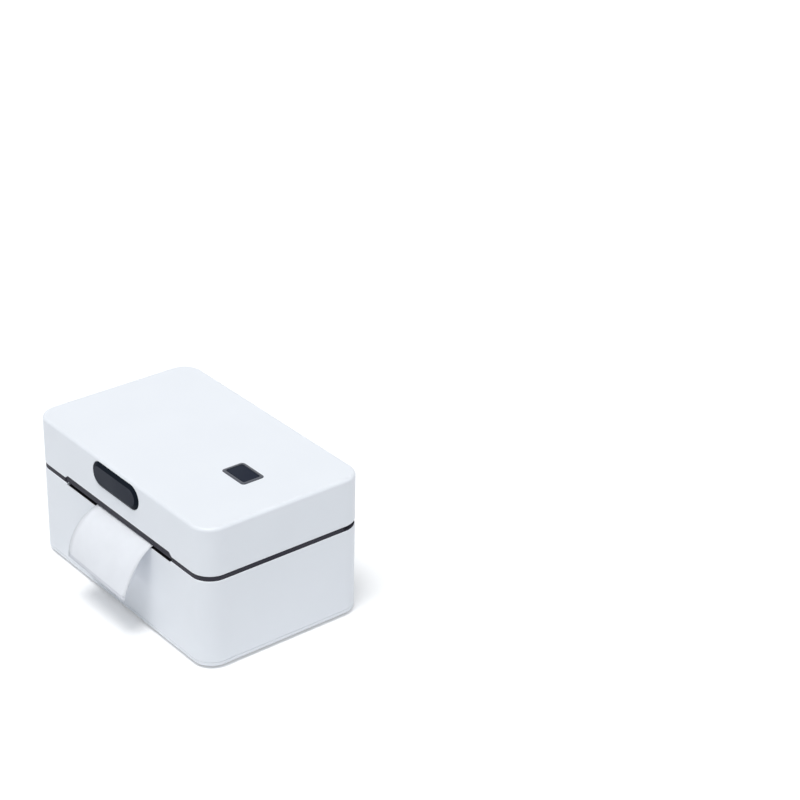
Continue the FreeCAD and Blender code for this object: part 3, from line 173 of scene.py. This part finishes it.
class Graph:
    """A material's node tree, with short calls for the nodes used here."""

    SOCKETS = {
        "colour": "Base Color",
        "roughness": "Roughness",
        "metallic": "Metallic",
        "specular": "Specular IOR Level",
        "coat": "Coat Weight",
        "normal": "Normal",
        "subsurface": "Subsurface Weight",
        "subsurface_scale": "Subsurface Scale",
        "subsurface_radius": "Subsurface Radius",
    }

    def __init__(self, name):
        self.material = bpy.data.materials.new(name)
        self.material.use_nodes = True
        self.tree = self.material.node_tree
        self.shader = self.tree.nodes["Principled BSDF"]

    def node(self, kind, **settings):
        """A new shader node with some of its settings changed."""
        made = self.tree.nodes.new("ShaderNode" + kind)
        for key, value in settings.items():
            setattr(made, key, value)
        return made

    def link(self, source, target):
        """Joins one node's output to another node's input."""
        self.tree.links.new(source, target)

    def coords(self, stretch=(1.0, 1.0, 1.0)):
        """The object's own coordinates in metres, times stretch."""
        place = self.node("Mapping")
        place.inputs["Scale"].default_value = stretch
        self.link(self.node("TexCoord").outputs["Object"], place.inputs["Vector"])
        return place.outputs["Vector"]

    def noise(self, per_metre, detail, stretch=(1.0, 1.0, 1.0)):
        """Noise with about so many spots in a metre."""
        made = self.node("TexNoise")
        made.inputs["Scale"].default_value = per_metre
        made.inputs["Detail"].default_value = detail
        self.link(self.coords(stretch), made.inputs["Vector"])
        return made.outputs["Fac"]

    def remap(self, value, low, high, from_low=0.3, from_high=0.7):
        """A value taken from one range to another, and kept inside it."""
        made = self.node("MapRange")
        made.inputs["From Min"].default_value = from_low
        made.inputs["From Max"].default_value = from_high
        made.inputs["To Min"].default_value = low
        made.inputs["To Max"].default_value = high
        self.link(value, made.inputs["Value"])
        return made.outputs["Result"]

    def ramp(self, value, first, second, low=0.35, high=0.65):
        """A colour that goes from the first to the second as a value rises."""
        made = self.node("ValToRGB")
        made.color_ramp.elements[0].position = low
        made.color_ramp.elements[0].color = first
        made.color_ramp.elements[1].position = high
        made.color_ramp.elements[1].color = second
        self.link(value, made.inputs["Fac"])
        return made.outputs["Color"]

    def bump(self, value, strength, depth_mm):
        """The surface's normal, roughened by a value."""
        made = self.node("Bump")
        made.inputs["Strength"].default_value = strength
        made.inputs["Distance"].default_value = depth_mm * MM
        self.link(value, made.inputs["Height"])
        return made.outputs["Normal"]

    def set(self, **values):
        """Sets the shader's sockets to plain values, or links them to other nodes."""
        for key, value in values.items():
            socket = self.shader.inputs[self.SOCKETS[key]]
            if isinstance(value, bpy.types.NodeSocket):
                self.link(value, socket)
            else:
                socket.default_value = value


def plastic(name, colour, roughness, grain_mm=0.45, grain=0.12, cloud=0.02, specular=0.5):
    """Moulded plastic: fine eroded grain, faint cloudiness in the colour and an uneven gloss."""
    g = Graph(name)
    clouds = g.noise(per_metre=26.0, detail=2.0)
    fine = g.noise(per_metre=1.0 / (grain_mm * MM), detail=2.0)
    unevenness = 0.05
    g.set(colour=g.ramp(clouds, mixed(colour, BLACK, cloud), mixed(colour, WHITE, cloud)),
          specular=specular,
          roughness=g.remap(fine, roughness - unevenness, roughness + unevenness),
          normal=g.bump(fine, strength=grain, depth_mm=0.02))
    return g


def painted_bevel_shade_plastic(name, axis, face, painted_shade_slope, roughness):
    """Satin moulding whose face along one axis keeps its colour, while the bevel round it is painted
    darker: painted shade for the dark reflection that a glossy bevel would show, since the part has
    little specular.
    """
    g = plastic(name, face, roughness, grain_mm=0.4, grain=0.1, specular=0.02)
    clouded = g.shader.inputs["Base Color"].links[0].from_socket
    normal = g.node("SeparateXYZ")
    g.link(g.node("TexCoord").outputs["Normal"], normal.inputs["Vector"])
    facing = g.node("Math", operation="ABSOLUTE")
    g.link(normal.outputs[axis], facing.inputs[0])
    # Painted shade: the mix gives the bevel's darker colour wherever the normal turns away from the axis.
    both = g.node("MixRGB")
    both.inputs["Color1"].default_value = painted_shade_slope
    g.link(g.remap(facing.outputs[0], 0.0, 1.0, from_low=0.9, from_high=0.98), both.inputs["Fac"])
    g.link(clouded, both.inputs["Color2"])
    g.set(colour=both.outputs["Color"])
    return g


def metal(name, colour, roughness, stretch=(1.0, 30.0, 30.0)):
    """Bare metal with drawn or ground lines, along the axes whose stretch is 1."""
    g = Graph(name)
    drawn = g.noise(per_metre=220.0, detail=4.0, stretch=stretch)
    tarnish = g.noise(per_metre=60.0, detail=3.0)
    g.set(colour=g.ramp(tarnish, mixed(colour, BLACK, 0.14), colour), metallic=1.0,
          roughness=g.remap(drawn, roughness - 0.08, roughness + 0.1),
          normal=g.bump(drawn, strength=0.15, depth_mm=0.01))
    return g


def rubber(name, colour):
    """Matt rubber with fine pores and a little dust."""
    g = Graph(name)
    pores = g.noise(per_metre=1900.0, detail=5.0)
    dust = g.noise(per_metre=90.0, detail=3.0)
    dusty = mixed(colour, (0.5, 0.5, 0.5, 1.0), 0.06)
    g.set(colour=g.ramp(dust, colour, dusty), specular=0.3, roughness=g.remap(dust, 0.72, 0.86),
          normal=g.bump(pores, strength=0.25, depth_mm=0.03))
    return g


def paper(name, colour, roughness):
    """Coated label stock: faint fibre mottle and a slight tooth."""
    g = Graph(name)
    fibre = g.noise(per_metre=900.0, detail=6.0, stretch=(1.0, 0.35, 1.0))
    mottle = g.noise(per_metre=120.0, detail=4.0)
    greyer = mixed(colour, (0.4, 0.4, 0.42, 1.0), 0.05)
    g.set(colour=g.ramp(mottle, greyer, colour), specular=0.35,
          roughness=g.remap(fibre, roughness - 0.06, roughness + 0.08),
          normal=g.bump(fibre, strength=0.08, depth_mm=0.01),
          subsurface=0.06, subsurface_scale=0.4 * MM, subsurface_radius=(1.0, 1.0, 1.0))
    return g


def circuit_board(name, laminate, copper):
    """Solder mask over a weave, a little lighter where there is copper under it."""
    g = Graph(name)
    pours = g.noise(per_metre=130.0, detail=1.0)
    weave = g.node("TexChecker")
    weave.inputs["Scale"].default_value = 1600.0
    g.link(g.coords(), weave.inputs["Vector"])
    g.set(colour=g.ramp(pours, laminate, copper, low=0.48, high=0.52), roughness=0.32, coat=0.3,
          normal=g.bump(weave.outputs["Fac"], strength=0.05, depth_mm=0.01))
    return g


FINISHES = {
    "casing_white": plastic("casing_white", srgb(236, 240, 246), roughness=0.42, cloud=0.012),
    "dark_plastic": plastic("dark_plastic", srgb(47, 46, 57), roughness=0.5, grain_mm=0.5, grain=0.2,
                            specular=0.12),
    # Darker than dark_plastic: partly the deck's own colour and partly painted shade, so that the deck
    # seen in the slot under the exit bar renders black.
    "deck_black": plastic("deck_black", srgb(20, 20, 23), roughness=0.55, grain_mm=0.5, grain=0.2,
                          specular=0.1),
    "black_plastic": plastic("black_plastic", srgb(26, 26, 29), roughness=0.45, grain_mm=0.5, grain=0.2,
                             specular=0.35),
    # The key and the pill: the bevel round each face is painted darker, as painted shade for the dark
    # reflection that a glossy bevel would show.
    "button_dark": painted_bevel_shade_plastic("button_dark", "Z", face=srgb(28, 35, 50), painted_shade_slope=srgb(18, 24, 34),
                            roughness=0.4),
    "pill_dark": painted_bevel_shade_plastic("pill_dark", "Y", face=srgb(43, 48, 59), painted_shade_slope=srgb(22, 28, 37),
                          roughness=0.4),
    "bezel_grey": plastic("bezel_grey", srgb(72, 76, 86), roughness=0.34, grain_mm=0.4, grain=0.06,
                          specular=0.4),
    "guide_grey": plastic("guide_grey", srgb(104, 107, 112), roughness=0.45, grain_mm=0.5, grain=0.15),
    "gear_nylon": plastic("gear_nylon", srgb(226, 222, 208), roughness=0.4, grain_mm=0.6, grain=0.1,
                          cloud=0.03),
    "head_ceramic": plastic("head_ceramic", srgb(206, 200, 188), roughness=0.25, grain_mm=0.8,
                            grain=0.05, cloud=0.03),
    "heater_glass": plastic("heater_glass", srgb(74, 58, 46), roughness=0.14, grain_mm=0.8, grain=0.03,
                            cloud=0.06),
    "rubber": rubber("rubber", srgb(36, 36, 38)),
    "screw_steel": metal("screw_steel", srgb(176, 178, 182), roughness=0.36, stretch=(30.0, 30.0, 1.0)),
    "sheet_steel": metal("sheet_steel", srgb(186, 188, 190), roughness=0.42, stretch=(1.0, 1.0, 40.0)),
    "bright_steel": metal("bright_steel", srgb(205, 206, 208), roughness=0.24),
    "pinion_brass": metal("pinion_brass", srgb(214, 176, 92), roughness=0.3),
    "heatsink_aluminium": metal("heatsink_aluminium", srgb(205, 207, 210), roughness=0.38,
                                stretch=(40.0, 1.0, 40.0)),
    "board_green": circuit_board("board_green", laminate=srgb(14, 74, 42), copper=srgb(24, 104, 58)),
    "label_paper": paper("label_paper", srgb(237, 240, 246), roughness=0.55),
    "liner_paper": paper("liner_paper", srgb(217, 220, 228), roughness=0.4),
}

# Nodes whose finish differs from the one that their slot names: the deck is darker than its slot's
# finish, partly its own dark colour and partly painted shade in the slot under the exit bar
NODE_FINISHES = {"media_deck": "deck_black", "release_button": "pill_dark"}


def dress_cad():
    """Every carried-over CAD node takes the finish that its record slot names, or the one that
    NODE_FINISHES gives it.
    """
    for entry in frame["record"]["subparts"]:
        finish = NODE_FINISHES.get(entry["node"], entry["material_slot"])
        mesh = NODES[entry["node"]].data
        mesh.materials.clear()
        mesh.materials.append(FINISHES[finish].material)


def new_object(name, data):
    """An object in the scene, for a mesh, a lamp or a camera."""
    made = bpy.data.objects.new(name, data)
    bpy.context.scene.collection.objects.link(made)
    return made


def add_piece(name, mesh, slot, body, stands_for=(), finish=None):
    """A new piece that rides on a body, in its slot's finish unless another is named."""
    mesh.materials.append(FINISHES[finish or slot].material)
    piece = new_object(name, mesh)
    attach(piece, body)
    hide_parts(*stands_for)
    return piece


def middle(node):
    """Centre of a node's box."""
    low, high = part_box(node)
    return (low + high) / 2


def circle_angles(count):
    """Angles that divide a full turn evenly."""
    return [2 * math.pi * k / count for k in range(count)]


def smooth(mesh):
    """Shades a mesh as one smooth surface."""
    for face in mesh.polygons:
        face.use_smooth = True


def new_mesh(name, verts, faces):
    """A smooth-shaded mesh from its points and faces."""
    mesh = bpy.data.meshes.new(name)
    mesh.from_pydata([tuple(v) for v in verts], [], faces)
    mesh.update()
    smooth(mesh)
    return mesh


def bevelled_box(name, low, high, bevel_mm):
    """A box with rounded edges."""
    bm = bmesh.new()
    bmesh.ops.create_cube(bm, size=1.0)
    for vert in bm.verts:
        vert.co = Vector(l + (h - l) * (c + 0.5) for l, h, c in zip(low, high, vert.co))
    bmesh.ops.bevel(bm, geom=bm.edges[:], offset=bevel_mm * MM, segments=BEVEL_STEPS,
                    affect="EDGES", profile=0.5)
    mesh = bpy.data.meshes.new(name)
    bm.to_mesh(mesh)
    bm.free()
    smooth(mesh)
    return mesh


def grid_faces(rows, columns):
    """Faces of a sheet whose points follow one another row by row."""
    return [(r * columns + c, r * columns + c + 1, (r + 1) * columns + c + 1, (r + 1) * columns + c)
            for r in range(rows - 1) for c in range(columns - 1)]


def tube_faces(rings, around):
    """Walls between rings of points that follow one another, and a cap at each end."""
    walls = [(r * around + k, (r + 1) * around + k,
              (r + 1) * around + (k + 1) % around, r * around + (k + 1) % around)
             for r in range(rings - 1) for k in range(around)]
    last = (rings - 1) * around
    return walls + [tuple(range(around)), tuple(reversed(range(last, last + around)))]


def band_faces(around):
    """A flat ring whose inner and outer points alternate."""
    count = 2 * around
    return [(k, k + 1, (k + 3) % count, (k + 2) % count) for k in range(0, count, 2)]


def thicken(piece, t_mm):
    """Gives a surface its thickness on the side away from its normals."""
    solid = piece.modifiers.new("thickness", "SOLIDIFY")
    solid.thickness = t_mm * MM
    solid.offset = -1.0


def bezier(a, b, c, d, t):
    """Point of a cubic curve: at a for t = 0 and at d for t = 1."""
    return a * (1 - t) ** 3 + b * 3 * t * (1 - t) ** 2 + c * 3 * t * t * (1 - t) + d * t ** 3


class StripEdge:
    """One long edge of the label strip, measured from its front end to its tail."""

    def __init__(self, curl):
        low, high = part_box("label_strip")
        front = Vector((low.y, low.z))
        corners = [Vector(point) for point in curl]
        self.points = [front + bezier(*corners, 1.0 - i / EDGE_STEPS) * MM
                       for i in range(EDGE_STEPS + 1)]
        flat_y = self.points[-1].x
        for i in range(1, EDGE_STEPS + 1):
            y = flat_y + (high.y - flat_y) * i / EDGE_STEPS
            past = max(0.0, y - high.y + TAIL_RUN * MM) / (TAIL_RUN * MM)
            self.points.append(Vector((y, high.z - TAIL_SAG * MM * past ** 2)))
        self.lengths = [0.0]
        for before, after in zip(self.points, self.points[1:]):
            self.lengths.append(self.lengths[-1] + (after - before).length)

    def at(self, s):
        """The edge's point at a distance s from its front end."""
        i = min(max(bisect.bisect_right(self.lengths, s), 1), len(self.points) - 1)
        share = (s - self.lengths[i - 1]) / (self.lengths[i] - self.lengths[i - 1])
        return self.points[i - 1].lerp(self.points[i], share)


class LabelStrip:
    """The surface between the strip's two edges: s runs back from the front end, u from left to right."""

    def __init__(self):
        self.left = StripEdge(CURL_LEFT)
        self.right = StripEdge(CURL_RIGHT)
        self.length = min(self.left.lengths[-1], self.right.lengths[-1])
        low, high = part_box("label_strip")
        self.x0 = low.x
        self.width = high.x - low.x

    def surface(self, s, u):
        """A point on the strip's upper side."""
        y, z = self.left.at(s).lerp(self.right.at(s), u)
        return Vector((self.x0 + self.width * u, y, z))

    def at(self, s, u, under_mm):
        """A point that lies under the surface, square to it."""
        step = SLOPE_STEP * MM
        along = self.surface(min(s + step, self.length), u) - self.surface(max(s - step, 0.0), u)
        normal = Vector((1.0, 0.0, 0.0)).cross(along).normalized()
        return self.surface(s, u) - normal * (under_mm * MM)

    def patch(self, name, rows, under_mm):
        """A panel through rows of (place along the strip, distance in from the strip's edges)."""
        verts = []
        for s, margin in rows:
            inset = margin / self.width
            verts += [self.at(s, inset + (1 - 2 * inset) * c / (STRIP_COLUMNS - 1), under_mm)
                      for c in range(STRIP_COLUMNS)]
        return new_mesh(name, verts, grid_faces(len(rows), STRIP_COLUMNS))

    def label_spans(self):
        """Where each label begins and ends along the strip."""
        spans = []
        start = LABEL_END * MM
        while start < self.length - 2 * LABEL_CORNER_R * MM:
            end = min(start + LABEL_LENGTH * MM, self.length - LABEL_TAIL * MM)
            spans.append((start, end))
            start = end + LABEL_GAP * MM
        return spans


def label_rows(start, end):
    """A label's outline as rows for its panel, closer together round its corners."""
    r = LABEL_CORNER_R * MM
    angles = [math.radians(90 * i / LABEL_CORNER_STEPS) for i in range(LABEL_CORNER_STEPS + 1)]
    turn = [r * (1 - math.cos(a)) for a in angles]
    count = max(2, int((end - start) / (LABEL_ROW_STEP * MM)))
    straight = [start + r + (end - start - 2 * r) * i / count for i in range(1, count)]
    rows = []
    for s in [start + t for t in turn] + straight + [end - t for t in reversed(turn)]:
        near = min(s - start, end - s, r)
        rows.append((s, LABEL_SIDE * MM + r - math.sqrt(max(0.0, r * r - (r - near) ** 2))))
    return rows


def add_label_strip():
    """Die-cut labels on their backing liner, label side up, curled down outside the slot."""
    strip = LabelStrip()
    rows = [(strip.length * i / (LINER_ROWS - 1), 0.0) for i in range(LINER_ROWS)]
    liner = add_piece("label_liner", strip.patch("label_liner", rows, LABEL_T), "label_paper", "base",
                      ["label_strip"], "liner_paper")
    thicken(liner, LINER_T)
    for number, (start, end) in enumerate(strip.label_spans(), 1):
        name = "label_%d" % number
        label = add_piece(name, strip.patch(name, label_rows(start, end), 0.0), "label_paper", "base")
        thicken(label, LABEL_T - LABEL_CLEARANCE)


def coil_mesh(name, foot, axis, height, radius, wire_r, turns):
    """Compression spring wire: the first and last turn close up, the rest rise evenly."""
    across = axis.orthogonal().normalized()
    other = axis.cross(across)
    rings = turns * STEPS_PER_TURN + 1
    rise = height - 2 * wire_r
    closed = 2 * wire_r / rise
    verts = []
    for i in range(rings):
        turn = i / STEPS_PER_TURN
        if turn < 1:
            share = closed * turn
        elif turn > turns - 1:
            share = 1 - closed * (turns - turn)
        else:
            share = closed + (1 - 2 * closed) * (turn - 1) / (turns - 2)
        angle = 2 * math.pi * turn
        spoke = across * math.cos(angle) + other * math.sin(angle)
        centre = foot + axis * (wire_r + rise * share) + spoke * (radius - wire_r)
        verts += [centre + (spoke * math.cos(a) + axis * math.sin(a)) * wire_r
                  for a in circle_angles(WIRE_SIDES)]
    return new_mesh(name, verts, tube_faces(rings, WIRE_SIDES))


def add_spring_pair(name, along, across, wire_r, turns):
    """Two coils in place of a node's two plain tubes, riding on the lid."""
    node = name + "s"
    low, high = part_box(node)
    radius = (high[across] - low[across]) / 2
    length = high[along] - low[along]
    axis = Vector()
    axis[along] = 1.0
    for side, x in (("left", low.x + radius), ("right", high.x - radius)):
        foot = middle(node)
        foot.x = x
        foot[along] = low[along]
        mesh = coil_mesh("%s_%s" % (name, side), foot, axis, length, radius, wire_r * MM, turns)
        stands_for = [node] if side == "left" else []
        spring = add_piece(mesh.name, mesh, "bright_steel", "lid", stands_for)
        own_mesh(spring)


def add_springs():
    """The springs behind the latch, and those that press the print head on the platen."""
    add_spring_pair("latch_spring", Y_AXIS, Z_AXIS, LATCH_WIRE_R,
                    LATCH_TURNS)
    add_spring_pair("head_spring", Z_AXIS, Y_AXIS, HEAD_WIRE_R, HEAD_TURNS)


def add_usb_tongue():
    """The connector's plastic tongue, with two sprung contacts on each side of it."""
    centre = middle("usb_port")
    half_w = TONGUE_W / 2 * MM
    half_h = TONGUE_H / 2 * MM
    y_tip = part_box("usb_port")[1].y - TONGUE_INSET * MM
    y_root = y_tip - TONGUE_LENGTH * MM
    tongue = bevelled_box("usb_tongue", (centre.x - half_w, y_root, centre.z - half_h),
                          (centre.x + half_w, y_tip, centre.z + half_h), TONGUE_BEVEL)
    add_piece("usb_tongue", tongue, "black_plastic", "base")
    places = [(x, z) for z in (half_h, -half_h) for x in (-CONTACT_X * MM, CONTACT_X * MM)]
    for number, (x, z) in enumerate(places, 1):
        spot = centre + Vector((x, 0.0, z))
        half = Vector((CONTACT_W / 2, 0.0, CONTACT_T / 2)) * MM
        low = spot - half
        high = spot + half
        low.y = y_root
        high.y = y_tip - CONTACT_SHORTER * MM
        name = "usb_contact_%d" % number
        add_piece(name, bevelled_box(name, low, high, CONTACT_BEVEL), "pinion_brass", "base")


def add_jack_pin():
    """Plated sleeve with a domed tip over the jack's centre pin."""
    low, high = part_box("dc_jack")
    x = (low.x + high.x) / 2
    z = low.z + PIN_UP * MM
    r = PIN_R * MM
    dome = r * PIN_DOME_SHARE
    y_dome = high.y - PIN_TIP * MM - dome
    profile = [(high.y - PIN_FOOT * MM, r), (y_dome, r)]
    profile += [(y_dome + dome * math.sin(a), r * math.cos(a)) for a in PIN_DOME_ANGLES]
    verts = [(x + ring_r * math.cos(a), y, z + ring_r * math.sin(a))
             for y, ring_r in profile for a in circle_angles(PIN_SIDES)]
    pin = new_mesh("jack_pin", verts, tube_faces(len(profile), PIN_SIDES))
    add_piece("jack_pin", pin, "bright_steel", "base")


def add_rocker_marks():
    """The usual line and circle, printed on the rocker's two halves."""
    mesh = NODES["rocker"].data
    tree = BVHTree.FromPolygons([v.co for v in mesh.vertices],
                                [tuple(f.vertices) for f in mesh.polygons])
    centre = middle("rocker")
    y_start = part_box("rocker")[1].y + RAY_RUN * MM

    def on_face(x_mm, z_mm):
        """The place on the rocker's face at a distance from its middle, lifted a hair."""
        start = Vector((centre.x + x_mm * MM, y_start, centre.z + z_mm * MM))
        spot, normal, _, _ = tree.ray_cast(start, Vector((0, -1, 0)))
        return spot + normal * (MARK_LIFT * MM)

    line = [on_face(side * MARK_LINE_W / 2, MARK_REACH + MARK_LINE_H * (i / (MARK_LINE_ROWS - 1) - 0.5))
            for i in range(MARK_LINE_ROWS) for side in (1, -1)]
    circle = [on_face(r * math.cos(a), r * math.sin(a) - MARK_REACH)
              for a in circle_angles(MARK_CIRCLE_STEPS) for r in MARK_CIRCLE_R]
    for name, verts, faces in (("rocker_line", line, grid_faces(MARK_LINE_ROWS, 2)),
                               ("rocker_circle", circle, band_faces(MARK_CIRCLE_STEPS))):
        mark = add_piece(name, new_mesh(name, verts, faces), "casing_white", "power_rocker")
        thicken(mark, MARK_T)


def bead_mesh(name, x0, x1, y, z, width_mm):
    """A low rounded bead along X that hangs under z."""
    half_w = width_mm / 2 * MM
    angles = [math.pi * k / (BEAD_POINTS - 1) for k in range(BEAD_POINTS)]
    verts = [(x, y + half_w * math.cos(a), z - BEAD_DEPTH * MM * math.sin(a))
             for x in (x0, x1) for a in angles]
    return new_mesh(name, verts, tube_faces(2, BEAD_POINTS))


def add_head_details():
    """Heater glaze over the platen and the resin that covers the driver chips, under the ceramic."""
    low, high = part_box("thermal_head")
    glaze = bead_mesh("heater_glaze", low.x + GLAZE_END * MM, high.x - GLAZE_END * MM,
                      middle("platen_rubber").y, low.z, GLAZE_W)
    add_piece("heater_glaze", glaze, "head_ceramic", "print_head", finish="heater_glass")
    resin = bead_mesh("driver_resin", low.x + RESIN_END * MM, high.x - RESIN_END * MM,
                      high.y - RESIN_INSET * MM, low.z, RESIN_W)
    add_piece("driver_resin", resin, "black_plastic", "print_head")


def add_camera():
    """The photograph's view, with the camera moved sideways until the casing's middle is on its pixel."""
    centre = Vector((0.0, 0.0, (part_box("bottom_plate")[0].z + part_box("lid_shell")[1].z) / 2))
    back = Vector((math.sin(AZIMUTH) * math.cos(ELEVATION),
                   -math.cos(AZIMUTH) * math.cos(ELEVATION), math.sin(ELEVATION)))
    level = (-back).cross(Vector((0.0, 0.0, 1.0))).normalized()
    upright = level.cross(-back)
    right = level * math.cos(ROLL) + upright * math.sin(ROLL)
    up = upright * math.cos(ROLL) - level * math.sin(ROLL)
    across = (TARGET_PX[0] - IMAGE_PX / 2) / FOCAL_PX * DISTANCE
    down = (TARGET_PX[1] - IMAGE_PX / 2) / FOCAL_PX * DISTANCE
    data = bpy.data.cameras.new("camera")
    data.sensor_width = SENSOR_MM
    data.lens = SENSOR_MM * FOCAL_PX / IMAGE_PX
    camera = new_object("camera", data)
    place = Matrix.Translation(centre + back * DISTANCE - right * across + up * down)
    camera.matrix_world = place @ Matrix((right, up, back)).transposed().to_4x4()
    bpy.context.scene.camera = camera


def background_rays(tree):
    """1 for the rays that show the background: straight, mirrored or through glass."""
    path = tree.nodes.new("ShaderNodeLightPath")
    total = path.outputs["Is Camera Ray"]
    for kind in ("Is Glossy Ray", "Is Transmission Ray"):
        either = tree.nodes.new("ShaderNodeMath")
        either.operation = "MAXIMUM"
        tree.links.new(total, either.inputs[0])
        tree.links.new(path.outputs[kind], either.inputs[1])
        total = either.outputs[0]
    return total


def add_floor():
    """A pale floor that keeps the shadow, a little brighter where it is seen as the background."""
    g = Graph("studio_floor")
    tooth = g.noise(per_metre=40.0, detail=3.0)
    g.set(colour=g.ramp(tooth, FLOOR_DARK, FLOOR_LIGHT), roughness=0.8, specular=0.1)
    strength = g.node("Math", operation="MULTIPLY")
    g.link(background_rays(g.tree), strength.inputs[0])
    strength.inputs[1].default_value = FLOOR_GLOW
    glow = g.node("Emission")
    g.link(strength.outputs[0], glow.inputs["Strength"])
    total = g.node("AddShader")
    g.link(g.shader.outputs[0], total.inputs[0])
    g.link(glow.outputs[0], total.inputs[1])
    g.link(total.outputs[0], g.tree.nodes["Material Output"].inputs["Surface"])
    corners = [(x * FLOOR_HALF, y * FLOOR_HALF, 0.0) for x, y in ((-1, -1), (1, -1), (1, 1), (-1, 1))]
    mesh = new_mesh("floor", corners, [(0, 1, 2, 3)])
    mesh.materials.append(g.material)
    new_object("floor", mesh)


def add_world():
    """Even pale light from all round, in front of a white background."""
    world = bpy.data.worlds.new("studio")
    world.use_nodes = True
    bpy.context.scene.world = world
    tree = world.node_tree
    light = tree.nodes["Background"]
    light.inputs["Color"].default_value = SKY_COLOUR
    light.inputs["Strength"].default_value = SKY_STRENGTH
    seen = tree.nodes.new("ShaderNodeBackground")
    seen.inputs["Color"].default_value = WHITE
    mix = tree.nodes.new("ShaderNodeMixShader")
    tree.links.new(background_rays(tree), mix.inputs["Fac"])
    tree.links.new(light.outputs[0], mix.inputs[1])
    tree.links.new(seen.outputs[0], mix.inputs[2])
    tree.links.new(mix.outputs[0], tree.nodes["World Output"].inputs["Surface"])


def add_light(name, azimuth, elevation, spread, strength, colour):
    """A wide, distant softbox. Azimuth is from the front towards the right, in degrees."""
    data = bpy.data.lights.new(name, "SUN")
    data.angle = math.radians(spread)
    data.energy = strength
    data.color = colour
    lamp = new_object(name, data)
    lamp.rotation_euler = (math.radians(90 - elevation), 0.0, math.radians(azimuth))


def add_lights():
    """Plain soft studio light, mostly from above."""
    add_light("front", azimuth=-8.0, elevation=45.0, spread=40.0, strength=0.3,
              colour=(0.97, 0.99, 1.0))
    add_light("right_rear", azimuth=132.0, elevation=42.0, spread=50.0, strength=0.38,
              colour=(0.97, 0.98, 1.0))
    add_light("overhead", azimuth=28.0, elevation=74.0, spread=25.0, strength=1.92,
              colour=(1.0, 0.99, 0.975))


bpy.context.scene.view_settings.view_transform = "Standard"
dress_cad()
add_label_strip()
add_springs()
add_usb_tongue()
add_jack_pin()
add_rocker_marks()
add_head_details()
add_camera()
add_floor()
add_world()
add_lights()
